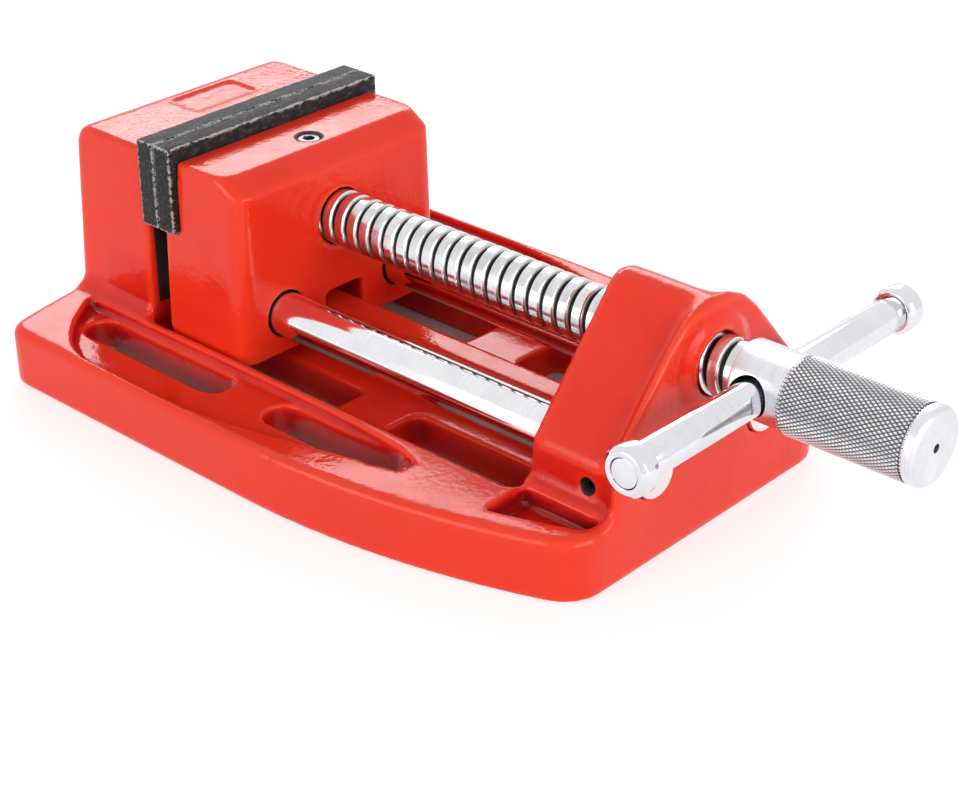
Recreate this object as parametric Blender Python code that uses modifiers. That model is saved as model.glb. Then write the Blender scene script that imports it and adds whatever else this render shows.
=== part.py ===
"""Drill press vise with a cast base, two guide rods and a screw-driven moving jaw.

Frame: +X runs along the screw towards the handle, +Z is up.
X = 0 is the seam between the closed jaw plates, Y = 0 the middle of the vise,
and Z = 0 the underside of the base. All sizes are in metres.
"""
import math

import bmesh
import bpy
from mathutils import Matrix, Vector
from mathutils.geometry import interpolate_bezier

# Jaw plates and their screws
PLATE_OVERHANG = 0.003
PLATE_HEIGHT = 0.0315
PLATE_THICKNESS = 0.0082
PLATE_RISE = 0.005
PLATE_EDGE = 0.0005
PLATE_SCREW_FROM_SIDE = 0.017
PLATE_SCREW_RADIUS = 0.0027
PLATE_SCREW_HEAD_RADIUS = 0.0050
PLATE_SCREW_HEAD_HEIGHT = 0.0048
PLATE_SCREW_RECESS = 0.0006
PLATE_SCREW_LENGTH = 0.018
SOCKET_RADIUS = 0.0024
SOCKET_DEPTH = 0.0025

# Castings of the two jaws
JAW_WIDTH = 0.094
JAW_ABOVE_SCREW = 0.026
JAW_EDGE = 0.0016
JAW_FACE_CORNER = 0.0012
FIXED_JAW_DEPTH = 0.0392
FIXED_JAW_CROWN = 0.0075
FIXED_JAW_CORNER = 0.0035
FIXED_JAW_REAR_DRAFT = 0.0020
JAW_SIDE_DRAFT = 0.0020
MOVING_JAW_DEPTH = 0.0318
MOVING_JAW_LEDGE = 0.0080
MOVING_JAW_BOTTOM = 0.0175
MOVING_JAW_CORNER = 0.006
MOVING_JAW_TOE = 0.005
MOVING_JAW_CHAMFER_RUN = 0.0085
MOVING_JAW_CHAMFER_DROP = 0.0057
BADGE_LENGTH = 0.031
BADGE_WIDTH = 0.0165
BADGE_DEPTH = 0.001
BADGE_CORNER = 0.0025
BADGE_FROM_FACE = 0.0135
BADGE_OFFSET = 0.0045

# Base casting
BASE_HEIGHT = 0.0225
FLANGE_WIDTH = 0.0375
FRONT_FLANGE_WIDTH = 0.0198
BASE_EDGE = 0.0026
BASE_BOTTOM_EDGE = 0.0012
BASE_REAR_LEDGE = 0.0036
BASE_REAR_RADIUS = 0.340
BASE_REAR_CORNER = 0.008
BASE_FRONT_CORNER = 0.015
BASE_TAPER_START = 0.080
FOOT_FILLET = 0.0045
SLOT_WIDTH = 0.0134
SLOT_FROM_POCKET = 0.012
REAR_SLOT_LENGTH = 0.074
FRONT_SLOT_LENGTH = 0.060
SLOT_BRIDGE_WIDTH = 0.0205
SLOT_BRIDGE_CENTRE = 0.0583
POCKET_SIDE_GAP = 0.0045
POCKET_DRAFT = 0.0012
POCKET_FLOOR = 0.0125
POCKET_CORNER = 0.005
POCKET_PAST_BLOCK = 0.0025

# Shallow trough around the slots
TROUGH_DEPTH = 0.0035
TROUGH_RIM = 0.0033
TROUGH_INNER_RIM = 0.0028
TROUGH_REAR = -0.037
TROUGH_REAR_SWEEP = 0.039
TROUGH_STRAIGHT_END = 0.040
TROUGH_NOSE = 0.1335
TROUGH_NOSE_HALF = 0.0035

# Ridge, windows and recesses of the base
RIDGE_HALF_WIDTH = 0.0065
RIDGE_HEIGHT = 0.027
RIDGE_EDGE = 0.002
BEAM_HALF_WIDTH = 0.0245
WINDOW_LEDGE = 0.003
WINDOW_CORNER = 0.004
REAR_WINDOW_MARGIN = 0.0107
FRONT_WINDOW_MARGIN = 0.003
WEB_START = 0.0755
WEB_WIDTH = 0.024
UNDERSIDE_DEPTH = 0.008
UNDERSIDE_WALL = 0.008
SKIRT_WIDTH = 0.0095
CORNER_POCKET_DEPTH = 0.0065
CORNER_POCKET_RIM = 0.010
CORNER_POCKET_FRONT_RIM = 0.005
CORNER_POCKET_LENGTH = 0.031

# Front bearing block
JAW_OPENING = 0.120
JAW_STOP_GAP = 0.0053
BLOCK_LENGTH = 0.039
BLOCK_WALL = 0.0068
BLOCK_SHOULDER_HEIGHT = 0.0365
BLOCK_SHOULDER_ROUND = 0.006
BLOCK_ABOVE_SCREW = 0.0215
BLOCK_CROWN = 0.0090
BLOCK_EDGE = 0.004
COVE_LENGTH = 0.008
RIM_THICKNESS = 0.0026
RIM_EDGE = 0.0012
RIM_FLARE = 0.0035
RIM_SHOULDER_HEIGHT = 0.0438
RIM_ABOVE_SCREW = 0.0220
RIM_CROWN = 0.029
BOSS_RADIUS = 0.0178
BOSS_TIP_RADIUS = 0.0138
BOSS_HEIGHT = 0.0022

# Guide rods and the set screws that hold them
ROD_RADIUS = 0.008
ROD_FROM_SIDE = 0.0188
ROD_HEIGHT = 0.0322
ROD_SEAT_DEPTH = 0.022
ROD_END_PROUD = 0.0018
ROD_END_ROUND = 0.0016
SET_SCREW_RADIUS = 0.0024
SET_SCREW_LENGTH = 0.0045
SET_SCREW_FROM_FRONT = 0.0143
SET_SCREW_DROP = 0.0034
SET_SCREW_SOCKET = 0.0013
SET_SCREW_SOCKET_DEPTH = 0.0022

# Lead screw with its hub and grip
SCREW_HEIGHT = 0.060
THREAD_RADIUS = 0.010
THREAD_DEPTH = 0.0015
THREAD_PITCH = 0.006
THREAD_CREST = 0.0036
THREAD_ROOT = 0.0012
THREAD_LEAD_IN = 0.0078
THREAD_SHOWING = 0.011
THREAD_SEAT_DEPTH = 0.0062
JOURNAL_RADIUS = 0.0076
JOURNAL_LENGTH = 0.0212
GROOVE_WIDTH = 0.0052
GROOVE_DEPTH = 0.0016
HUB_RADIUS = 0.0122
HUB_LENGTH = 0.0182
HUB_EDGE = 0.0006
GRIP_RADIUS = 0.0129
GRIP_LENGTH = 0.0475
GRIP_CHAMFER = 0.0012
GRIP_RING = 0.0040
GRIP_NECK = 0.0005
CENTRE_DRILL_RADIUS = 0.0014
CENTRE_DRILL_DEPTH = 0.0016

# Grub screw that keeps the lead screw in the moving jaw
GRUB_RADIUS = 0.0039
GRUB_DOG_RADIUS = 0.0020
GRUB_DOG_LENGTH = 0.0040
GRUB_FROM_FACE = 0.0163
GRUB_BELOW_TOP = 0.0006

# Tommy bar
BAR_RADIUS = 0.0059
BAR_LENGTH = 0.144
BAR_SHIFT = 0.0018
BAR_FROM_HUB_END = 0.0077
BAR_HOLE_CLEARANCE = 0.0009
CAP_RADIUS = 0.0081
CAP_LENGTH = 0.0078
CAP_CHAMFER = 0.0012
TENON_RADIUS = 0.0047

# Fits
GAP = 0.0003
SLIDE_CLEARANCE = 0.0004
THREAD_CLEARANCE = 0.0005
RIDGE_SIDE_CLEARANCE = 0.0025
RIDGE_TOP_CLEARANCE = 0.006
CUT_MARGIN = 0.004
OVERLAP = 0.001
ROUND_END = 0.0001

# Facets
ROUND_STEPS = 32
BORE_STEPS = 24
THREAD_STEPS = 12
SMALL_STEPS = 12
CORNER_STEPS = 3
SLOT_STEPS = 5
EDGE_STEPS = 2
ARC_STEPS = 6
OUTLINE_STEPS = 12

# Places that follow from the sizes above
PLATE_LENGTH = JAW_WIDTH + 2 * PLATE_OVERHANG
PLATE_SCREW_SPACING = JAW_WIDTH - 2 * PLATE_SCREW_FROM_SIDE
JAW_TOP = SCREW_HEIGHT + JAW_ABOVE_SCREW
BLOCK_TOP = SCREW_HEIGHT + BLOCK_ABOVE_SCREW
RIM_TOP = SCREW_HEIGHT + RIM_ABOVE_SCREW
PLATE_BOTTOM = JAW_TOP + PLATE_RISE - PLATE_HEIGHT
PLATE_MIDDLE = JAW_TOP + PLATE_RISE - PLATE_HEIGHT / 2
PLATE_BACK = GAP / 2 + PLATE_THICKNESS
JAW_FACE = PLATE_BACK + GAP
FIXED_REAR = -JAW_FACE - FIXED_JAW_DEPTH
BASE_REAR = FIXED_REAR - FIXED_JAW_REAR_DRAFT - BASE_REAR_LEDGE
MOVING_FRONT = JAW_FACE + MOVING_JAW_DEPTH
BLOCK_INNER = MOVING_FRONT + JAW_OPENING + JAW_STOP_GAP
BLOCK_FRONT = BLOCK_INNER + BLOCK_LENGTH
ROD_Y = JAW_WIDTH / 2 - ROD_FROM_SIDE
ROD_REAR = -JAW_FACE - ROD_SEAT_DEPTH
ROD_FRONT = BLOCK_FRONT + ROD_END_PROUD
SET_SCREW_X = BLOCK_FRONT - SET_SCREW_FROM_FRONT
SET_SCREW_Z = ROD_HEIGHT - SET_SCREW_DROP
THREAD_START = MOVING_FRONT - THREAD_SEAT_DEPTH + GAP
JOURNAL_END = THREAD_START - JOURNAL_LENGTH
GRUB_X = JAW_FACE + GRUB_FROM_FACE
HUB_START = BLOCK_FRONT + BOSS_HEIGHT + THREAD_SHOWING
HUB_END = HUB_START + HUB_LENGTH
GRIP_END = HUB_END + GRIP_LENGTH
BAR_X = HUB_START + BAR_FROM_HUB_END
BAR_Z = SCREW_HEIGHT - BAR_HOLE_CLEARANCE + GAP
POCKET_HALF_WIDTH = JAW_WIDTH / 2 + POCKET_SIDE_GAP
BASE_HALF_WIDTH = POCKET_HALF_WIDTH + FLANGE_WIDTH
SLOT_CENTRE = POCKET_HALF_WIDTH + SLOT_FROM_POCKET
BLOCK_HALF_WIDTH = ROD_Y + ROD_RADIUS + BLOCK_WALL
RIM_HALF_WIDTH = BLOCK_HALF_WIDTH + RIM_FLARE
BASE_FRONT_HALF_WIDTH = BLOCK_HALF_WIDTH + FRONT_FLANGE_WIDTH
TROUGH_FLOOR = BASE_HEIGHT - TROUGH_DEPTH
WINDOW_OUTER = POCKET_HALF_WIDTH - WINDOW_LEDGE


# Starting from an empty file
for leftover in list(bpy.data.objects):
    bpy.data.objects.remove(leftover)

vise = bpy.data.collections.new("drill_press_vise")
bpy.context.scene.collection.children.link(vise)


def material(name, colour, roughness, metallic):
    made = bpy.data.materials.new(name)
    made.use_nodes = True
    shader = made.node_tree.nodes["Principled BSDF"]
    shader.inputs["Base Color"].default_value = (*colour, 1.0)
    shader.inputs["Roughness"].default_value = roughness
    shader.inputs["Metallic"].default_value = metallic
    return made


ENAMEL = material("orange_red_enamel", (0.80, 0.055, 0.022), 0.22, 0.0)
JAW_STEEL = material("blackened_jaw_steel", (0.030, 0.028, 0.030), 0.45, 0.55)
ROD_STEEL = material("ground_rod_steel", (0.62, 0.62, 0.63), 0.18, 1.0)
SCREW_STEEL = material("bright_screw_steel", (0.58, 0.58, 0.59), 0.22, 1.0)
BAR_CHROME = material("tommy_bar_chrome", (0.70, 0.70, 0.71), 0.12, 1.0)
BLACK_OXIDE = material("black_oxide_screws", (0.035, 0.035, 0.040), 0.40, 0.6)


def solid(name, mesh, colour, origin=(0.0, 0.0, 0.0), smooth_below=35.0):
    """Put a finished mesh in the vise's collection with its origin at the given point."""
    mesh.transform(Matrix.Translation(-Vector(origin)))
    mesh.name = name
    mesh.materials.clear()
    mesh.materials.append(colour)
    mesh.polygons.foreach_set("use_smooth", [True] * len(mesh.polygons))
    mesh.set_sharp_from_angle(angle=math.radians(smooth_below))
    made = bpy.data.objects.new(name, mesh)
    made.location = origin
    vise.objects.link(made)
    return made


def as_mesh(bm):
    bmesh.ops.recalc_face_normals(bm, faces=bm.faces)
    mesh = bpy.data.meshes.new("shape")
    bm.to_mesh(mesh)
    bm.free()
    return mesh


def combine(mesh, other, operation):
    """Join, cut or intersect two closed meshes and return the result."""
    first = bpy.data.objects.new("first", mesh)
    second = bpy.data.objects.new("second", other)
    for piece in (first, second):
        bpy.context.scene.collection.objects.link(piece)
    boolean = first.modifiers.new("boolean", "BOOLEAN")
    boolean.object = second
    boolean.operation = operation
    boolean.solver = "EXACT"
    depsgraph = bpy.context.evaluated_depsgraph_get()
    result = bpy.data.meshes.new_from_object(first.evaluated_get(depsgraph))
    for piece in (first, second):
        bpy.data.objects.remove(piece)
    for used in (mesh, other):
        bpy.data.meshes.remove(used)
    return result


def join(mesh, *others):
    for other in others:
        mesh = combine(mesh, other, "UNION")
    return mesh


def cut(mesh, *others):
    for other in others:
        mesh = combine(mesh, other, "DIFFERENCE")
    return mesh


def prism(outline, low, high, low_bevel=0.0, high_bevel=0.0):
    """Extrude a plan outline between two heights and round its rim edges."""
    bm = bmesh.new()
    face = bm.faces.new([bm.verts.new((x, y, low)) for x, y in outline])
    moved = bmesh.ops.extrude_face_region(bm, geom=[face])["geom"]
    top = [item for item in moved if isinstance(item, bmesh.types.BMVert)]
    bmesh.ops.translate(bm, verts=top, vec=(0.0, 0.0, high - low))
    for level, bevel in ((low, low_bevel), (high, high_bevel)):
        if bevel:
            rim = [e for e in bm.edges if all(abs(v.co.z - level) < GAP for v in e.verts)]
            bmesh.ops.bevel(
                bm, geom=rim, offset=bevel, segments=EDGE_STEPS, profile=0.5,
                affect="EDGES", material=-1,
            )
    return as_mesh(bm)


def box(low, high, bevel=0.0):
    bm = bmesh.new()
    size = Vector(high) - Vector(low)
    middle = (Vector(high) + Vector(low)) / 2
    bmesh.ops.create_cube(bm, size=1.0, matrix=Matrix.Translation(middle) @ Matrix.Diagonal(size).to_4x4())
    if bevel:
        bmesh.ops.bevel(
            bm, geom=bm.edges[:], offset=bevel, segments=2, profile=0.5,
            affect="EDGES", material=-1,
        )
    return as_mesh(bm)


def loft(rings):
    """Skin a run of rings that hold the same number of points, and cap both ends."""
    bm = bmesh.new()
    rows = [[bm.verts.new(point) for point in ring] for ring in rings]
    count = len(rows[0])
    for near, far in zip(rows, rows[1:]):
        for i in range(count):
            j = (i + 1) % count
            bm.faces.new((near[i], near[j], far[j], far[i]))
    bm.faces.new(rows[0])
    bm.faces.new(rows[-1])
    return as_mesh(bm)


def turned(profile, steps, axis="X", at=(0.0, 0.0, 0.0)):
    """Turn a profile of (distance, radius) pairs round a line parallel to X, Y or Z."""
    bm = bmesh.new()
    points = [bm.verts.new((radius, 0.0, distance)) for distance, radius in profile]
    edges = [bm.edges.new(pair) for pair in zip(points, points[1:])]
    bmesh.ops.spin(
        bm, geom=points + edges, cent=(0.0, 0.0, 0.0), axis=(0.0, 0.0, 1.0),
        dvec=(0.0, 0.0, 0.0), angle=2.0 * math.pi, steps=steps, use_merge=True, use_duplicate=False,
    )
    bmesh.ops.remove_doubles(bm, verts=bm.verts, dist=1e-6)
    turn = {
        "X": Matrix.Rotation(math.pi / 2, 4, "Y"),
        "Y": Matrix.Rotation(-math.pi / 2, 4, "X"),
        "Z": Matrix(),
    }
    bmesh.ops.transform(bm, verts=bm.verts, matrix=Matrix.Translation(at) @ turn[axis])
    bmesh.ops.holes_fill(bm, edges=bm.edges, sides=0)
    return as_mesh(bm)


def pin(radius, low, high, steps, axis="X", at=(0.0, 0.0, 0.0)):
    return turned([(low, 0.0), (low, radius), (high, radius), (high, 0.0)], steps, axis, at)


def hexagon_socket(radius, low, high, axis, at):
    return pin(radius, low, high, 6, axis, at)


def arc(cx, cy, radius, start, end, steps):
    angles = [math.radians(start + (end - start) * i / steps) for i in range(steps + 1)]
    return [(cx + radius * math.cos(a), cy + radius * math.sin(a)) for a in angles]


def rounded(x0, x1, y0, y1, r0, r1, steps=CORNER_STEPS):
    """Rectangle whose corners at x0 have radius r0 and those at x1 radius r1."""
    return (
        arc(x1 - r1, y1 - r1, r1, 0, 90, steps)
        + arc(x0 + r0, y1 - r0, r0, 90, 180, steps)
        + arc(x0 + r0, y0 + r0, r0, 180, 270, steps)
        + arc(x1 - r1, y0 + r1, r1, 270, 360, steps)
    )


def mirrored(outline):
    return [(x, -y) for x, y in reversed(outline)]


def bezier(*knots):
    points = [Vector((x, y, 0.0)) for x, y in knots]
    return [(p.x, p.y) for p in interpolate_bezier(*points, OUTLINE_STEPS + 1)]


# Plan outline of the base: straight flanges that sweep in towards the front
taper_run = BLOCK_FRONT - BASE_TAPER_START
taper_fall = BASE_HALF_WIDTH - BASE_FRONT_HALF_WIDTH
TAPER_RADIUS = (taper_run ** 2 + taper_fall ** 2) / (2 * taper_fall)
TAPER_CENTRE_Y = BASE_HALF_WIDTH - TAPER_RADIUS


def plan_side(inset, front):
    """Outline of one flange edge, moved inwards and ended at the given front plane."""
    taper = TAPER_RADIUS - inset
    corner = max(BASE_FRONT_CORNER - inset, EDGE_STEPS * BASE_EDGE / 2)
    corner_x = front - corner
    corner_y = TAPER_CENTRE_Y + math.sqrt((taper - corner) ** 2 - (corner_x - BASE_TAPER_START) ** 2)
    meeting = math.degrees(math.atan2(corner_y - TAPER_CENTRE_Y, corner_x - BASE_TAPER_START))
    points = arc(corner_x, corner_y, corner, 0, meeting, CORNER_STEPS + 1)
    points += arc(BASE_TAPER_START, TAPER_CENTRE_Y, taper, meeting, 90, OUTLINE_STEPS)[1:]
    return points


rear_centre = BASE_REAR + BASE_REAR_RADIUS
rear_corner_y = BASE_HALF_WIDTH - BASE_REAR_CORNER
rear_reach = math.sqrt((BASE_REAR_RADIUS - BASE_REAR_CORNER) ** 2 - rear_corner_y ** 2)
rear_meeting = math.degrees(math.atan2(rear_corner_y, -rear_reach))
base_side = plan_side(0.0, BLOCK_FRONT)
base_side += arc(rear_centre - rear_reach, rear_corner_y, BASE_REAR_CORNER, 90, rear_meeting, CORNER_STEPS)
base_side += arc(rear_centre, 0.0, BASE_REAR_RADIUS, rear_meeting, 180, OUTLINE_STEPS)[1:]
base = prism(base_side + mirrored(base_side[:-1]), 0.0, BASE_HEIGHT, BASE_BOTTOM_EDGE, BASE_EDGE)

# Deep pocket between the jaws, with a ridge along its middle
pocket_end = BLOCK_INNER + POCKET_PAST_BLOCK
pocket_rings = []
for level, inset in ((POCKET_FLOOR, POCKET_DRAFT), (BASE_HEIGHT + CUT_MARGIN, 0.0)):
    half = POCKET_HALF_WIDTH - inset
    outline = rounded(-JAW_FACE, pocket_end - inset, -half, half, POCKET_CORNER, POCKET_CORNER)
    pocket_rings.append([(x, y, level) for x, y in outline])
base = cut(base, loft(pocket_rings))

ridge_half_top = RIDGE_HALF_WIDTH - RIDGE_EDGE
ridge_foot = (RIDGE_HALF_WIDTH, POCKET_FLOOR - CUT_MARGIN)
ridge_side = arc(ridge_half_top, RIDGE_HEIGHT - RIDGE_EDGE, RIDGE_EDGE, 90, 0, EDGE_STEPS) + [ridge_foot]
ridge_section = [(-y, z) for y, z in reversed(ridge_side)] + ridge_side
ridge_ends = (-JAW_FACE - CUT_MARGIN, BLOCK_INNER + CUT_MARGIN)
base = join(base, loft([[(x, y, z) for y, z in ridge_section] for x in ridge_ends]))


# Fixed jaw: a block with rounded corners, a rounded crown and a filleted foot
def edge_inset(level, top, radius):
    """How far a side has drawn in at this level when its top edge has the given radius."""
    rise = max(level - top + radius, 0.0)
    return radius - math.sqrt(max(radius * radius - rise * rise, 0.0))


def foot_growth(level):
    """How far the fillet at the foot of a casting stands out at this level."""
    drop = min(max(BASE_HEIGHT + FOOT_FILLET - level, 0.0), FOOT_FILLET)
    return FOOT_FILLET - math.sqrt(FOOT_FILLET ** 2 - drop ** 2)


edge_turn = [1 - math.cos(math.pi / 2 * i / EDGE_STEPS) for i in range(EDGE_STEPS + 1)]
crown_turn = [1 - math.sin(math.pi / 2 * i / ARC_STEPS) for i in range(ARC_STEPS + 1)]
foot_levels = [BASE_HEIGHT + FOOT_FILLET * part for part in edge_turn]
crown_levels = [JAW_TOP - FIXED_JAW_CROWN * part for part in crown_turn]
edge_levels = [JAW_TOP - JAW_EDGE * (1 - math.sin(math.pi / 2 * i / EDGE_STEPS)) for i in range(EDGE_STEPS + 1)]

jaw_rings = []
for level in sorted([POCKET_FLOOR - CUT_MARGIN / 2] + foot_levels + crown_levels[:-1] + edge_levels):
    draft = (JAW_TOP - level) / (JAW_TOP - BASE_HEIGHT)
    growth = foot_growth(level) - edge_inset(level, JAW_TOP, JAW_EDGE)
    half = JAW_WIDTH / 2 + growth + draft * JAW_SIDE_DRAFT
    rear = FIXED_REAR + edge_inset(level, JAW_TOP, FIXED_JAW_CROWN) - draft * FIXED_JAW_REAR_DRAFT
    face = -JAW_FACE - edge_inset(level, JAW_TOP, JAW_EDGE)
    outline = rounded(rear, face, -half, half, FIXED_JAW_CORNER, JAW_FACE_CORNER)
    jaw_rings.append([(x, y, level) for x, y in outline])
base = join(base, loft(jaw_rings))


# Front block: an arch-shaped section that flares in a cove to a thin rim at its front
def arch(half_width, shoulder_height, top, crown, x):
    """Section across X: upright sides, straight slopes and a round top tangent to them."""
    centre = top - crown
    away = math.hypot(half_width, shoulder_height - centre)
    lean = math.atan2(shoulder_height - centre, half_width) + math.acos(crown / away)
    slope = math.degrees(lean)
    drop = BLOCK_SHOULDER_ROUND * math.tan(lean / 2)
    right = [(half_width + FOOT_FILLET, POCKET_FLOOR - CUT_MARGIN / 2)]
    right += [(half_width + foot_growth(level), level) for level in foot_levels]
    right += arc(
        half_width - BLOCK_SHOULDER_ROUND, shoulder_height - drop, BLOCK_SHOULDER_ROUND, 0, slope, CORNER_STEPS,
    )
    right += arc(0.0, centre, crown, slope, 90, CORNER_STEPS)
    left = [(-y, z) for y, z in reversed(right[:-1])]
    return [(x, y, z) for y, z in right + left]


BLOCK_SECTION = (BLOCK_HALF_WIDTH, BLOCK_SHOULDER_HEIGHT, BLOCK_TOP, BLOCK_CROWN)
RIM_SECTION = (RIM_HALF_WIDTH, RIM_SHOULDER_HEIGHT, RIM_TOP, RIM_CROWN)


def shrunk(section, inset):
    """The same section with every side moved inwards."""
    half_width, shoulder_height, top, crown = section
    return half_width - inset, shoulder_height - inset / 2, top - inset, crown - inset


block_rings = []
for i in range(EDGE_STEPS + 1):
    angle = math.pi / 2 * i / EDGE_STEPS
    section = shrunk(BLOCK_SECTION, BLOCK_EDGE * (1 - math.sin(angle)))
    block_rings.append(arch(*section, BLOCK_INNER + BLOCK_EDGE * (1 - math.cos(angle))))
cove_start = BLOCK_FRONT - RIM_THICKNESS - COVE_LENGTH
for i in range(ARC_STEPS + 1):
    angle = math.pi / 2 * i / ARC_STEPS
    part = 1 - math.cos(angle)
    section = [a + (b - a) * part for a, b in zip(BLOCK_SECTION, RIM_SECTION)]
    block_rings.append(arch(*section, cove_start + COVE_LENGTH * math.sin(angle)))
block_rings.append(arch(*RIM_SECTION, BLOCK_FRONT - RIM_EDGE))
block_rings.append(arch(*shrunk(RIM_SECTION, RIM_EDGE), BLOCK_FRONT))
base = join(base, loft(block_rings))

# Raised boss round the screw hole
boss = turned(
    [(BLOCK_FRONT - CUT_MARGIN, 0.0), (BLOCK_FRONT - CUT_MARGIN, BOSS_RADIUS), (BLOCK_FRONT, BOSS_RADIUS),
     (BLOCK_FRONT + BOSS_HEIGHT, BOSS_TIP_RADIUS), (BLOCK_FRONT + BOSS_HEIGHT, 0.0)],
    ROUND_STEPS, "X", (0.0, 0.0, SCREW_HEIGHT),
)
base = join(base, boss)

# Windows through the pocket floor, on both sides of the middle beam
rear_window = (-JAW_FACE + REAR_WINDOW_MARGIN, WEB_START)
front_window = (WEB_START + WEB_WIDTH, BLOCK_INNER - FRONT_WINDOW_MARGIN)
for start, end in (rear_window, front_window):
    outline = rounded(start, end, BEAM_HALF_WIDTH, WINDOW_OUTER, WINDOW_CORNER, WINDOW_CORNER)
    for window in (outline, mirrored(outline)):
        base = cut(base, prism(window, -CUT_MARGIN, POCKET_FLOOR + CUT_MARGIN))

# Troughs and the clamping slots inside them
trough_inner = POCKET_HALF_WIDTH + TROUGH_INNER_RIM
trough_outer = BASE_HALF_WIDTH - TROUGH_RIM
nose_low = SLOT_CENTRE - TROUGH_NOSE_HALF
nose_high = SLOT_CENTRE + TROUGH_NOSE_HALF
sweep_end = TROUGH_REAR + TROUGH_REAR_SWEEP
trough = bezier(
    (TROUGH_REAR, trough_inner), (TROUGH_REAR + TROUGH_REAR_SWEEP / 8, (trough_inner * 2 + trough_outer) / 3),
    (sweep_end - TROUGH_REAR_SWEEP / 2, trough_outer), (sweep_end, trough_outer),
)
trough += bezier(
    (TROUGH_STRAIGHT_END, trough_outer), ((TROUGH_STRAIGHT_END * 2 + TROUGH_NOSE) / 3, trough_outer),
    ((TROUGH_STRAIGHT_END + TROUGH_NOSE * 2) / 3, (nose_high * 2 + trough_outer) / 3), (TROUGH_NOSE, nose_high),
)
trough += bezier(
    (TROUGH_NOSE, nose_low), (TROUGH_NOSE - SLOT_WIDTH, trough_inner),
    (SLOT_BRIDGE_CENTRE + FRONT_SLOT_LENGTH / 2, trough_inner), (SLOT_BRIDGE_CENTRE, trough_inner),
)
rear_slot_end = SLOT_BRIDGE_CENTRE - SLOT_BRIDGE_WIDTH / 2
front_slot_start = SLOT_BRIDGE_CENTRE + SLOT_BRIDGE_WIDTH / 2
slots = (
    (rear_slot_end - REAR_SLOT_LENGTH, rear_slot_end),
    (front_slot_start, front_slot_start + FRONT_SLOT_LENGTH),
)
slot_half = SLOT_WIDTH / 2
for outline in (trough, mirrored(trough)):
    base = cut(base, prism(outline, TROUGH_FLOOR, BASE_HEIGHT + CUT_MARGIN))
for start, end in slots:
    slot_radius = slot_half - ROUND_END
    outline = rounded(
        start, end, SLOT_CENTRE - slot_half, SLOT_CENTRE + slot_half, slot_radius, slot_radius, SLOT_STEPS,
    )
    for slot in (outline, mirrored(outline)):
        base = cut(base, prism(slot, -CUT_MARGIN, BASE_HEIGHT + CUT_MARGIN))

# Shallow pockets in the front corners of the flange
corner_end = BLOCK_FRONT - CORNER_POCKET_FRONT_RIM
corner_start = corner_end - CORNER_POCKET_LENGTH
corner_inner = BLOCK_HALF_WIDTH + FOOT_FILLET
corner_pocket = [p for p in plan_side(CORNER_POCKET_RIM, corner_end) if p[0] > corner_start]
reach = TAPER_RADIUS - CORNER_POCKET_RIM
corner_pocket += [
    (corner_start, TAPER_CENTRE_Y + math.sqrt(reach ** 2 - (corner_start - BASE_TAPER_START) ** 2)),
    (corner_start, corner_inner),
    (corner_end, corner_inner),
]
for outline in (corner_pocket, mirrored(corner_pocket)):
    base = cut(base, prism(outline, BASE_HEIGHT - CORNER_POCKET_DEPTH, BASE_HEIGHT + CUT_MARGIN))

# Cored recesses under the two flanges
recess_inner = WINDOW_OUTER + UNDERSIDE_WALL
recess = [p for p in plan_side(SKIRT_WIDTH, BLOCK_INNER) if p[1] > recess_inner]
for y in (BASE_HALF_WIDTH - SKIRT_WIDTH, recess_inner):
    recess.append((rear_centre - math.sqrt((BASE_REAR_RADIUS - SKIRT_WIDTH) ** 2 - y ** 2), y))
recess.append((BLOCK_INNER, recess_inner))
for outline in (recess, mirrored(recess)):
    base = cut(base, prism(outline, -CUT_MARGIN, UNDERSIDE_DEPTH))

# Bare oblong recess in the top of the fixed jaw
badge_end = -JAW_FACE - BADGE_FROM_FACE
badge = rounded(
    badge_end - BADGE_WIDTH, badge_end, BADGE_OFFSET - BADGE_LENGTH / 2, BADGE_OFFSET + BADGE_LENGTH / 2,
    BADGE_CORNER, BADGE_CORNER,
)
base = cut(base, prism(badge, JAW_TOP - BADGE_DEPTH, JAW_TOP + CUT_MARGIN))

# Bores for the rods, the lead screw, the set screws and the plate screws
rod_bore = ROD_RADIUS + GAP
for side in (-1, 1):
    at = (0.0, side * ROD_Y, ROD_HEIGHT)
    base = cut(
        base,
        pin(rod_bore, ROD_REAR - GAP, -JAW_FACE + CUT_MARGIN, BORE_STEPS, "X", at),
        pin(rod_bore, BLOCK_INNER - CUT_MARGIN, BLOCK_FRONT + CUT_MARGIN, BORE_STEPS, "X", at),
    )
    across = sorted((side * ROD_Y, side * (BLOCK_HALF_WIDTH + CUT_MARGIN)))
    base = cut(base, pin(SET_SCREW_RADIUS + GAP, *across, SMALL_STEPS, "Y", (SET_SCREW_X, 0.0, SET_SCREW_Z)))
screw_bore = pin(
    THREAD_RADIUS + THREAD_CLEARANCE, BLOCK_INNER - CUT_MARGIN, BLOCK_FRONT + BOSS_HEIGHT + CUT_MARGIN,
    ROUND_STEPS, "X", (0.0, 0.0, SCREW_HEIGHT),
)
base = cut(base, screw_bore)
plate_screw_tip = GAP / 2 + PLATE_SCREW_RECESS + PLATE_SCREW_LENGTH
for side in (-1, 1):
    at = (0.0, side * PLATE_SCREW_SPACING / 2, PLATE_MIDDLE)
    plate_screw_hole = pin(
        PLATE_SCREW_RADIUS + GAP, -plate_screw_tip - GAP, -JAW_FACE + CUT_MARGIN, SMALL_STEPS, "X", at,
    )
    base = cut(base, plate_screw_hole)
solid("base_casting", base, ENAMEL)

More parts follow.
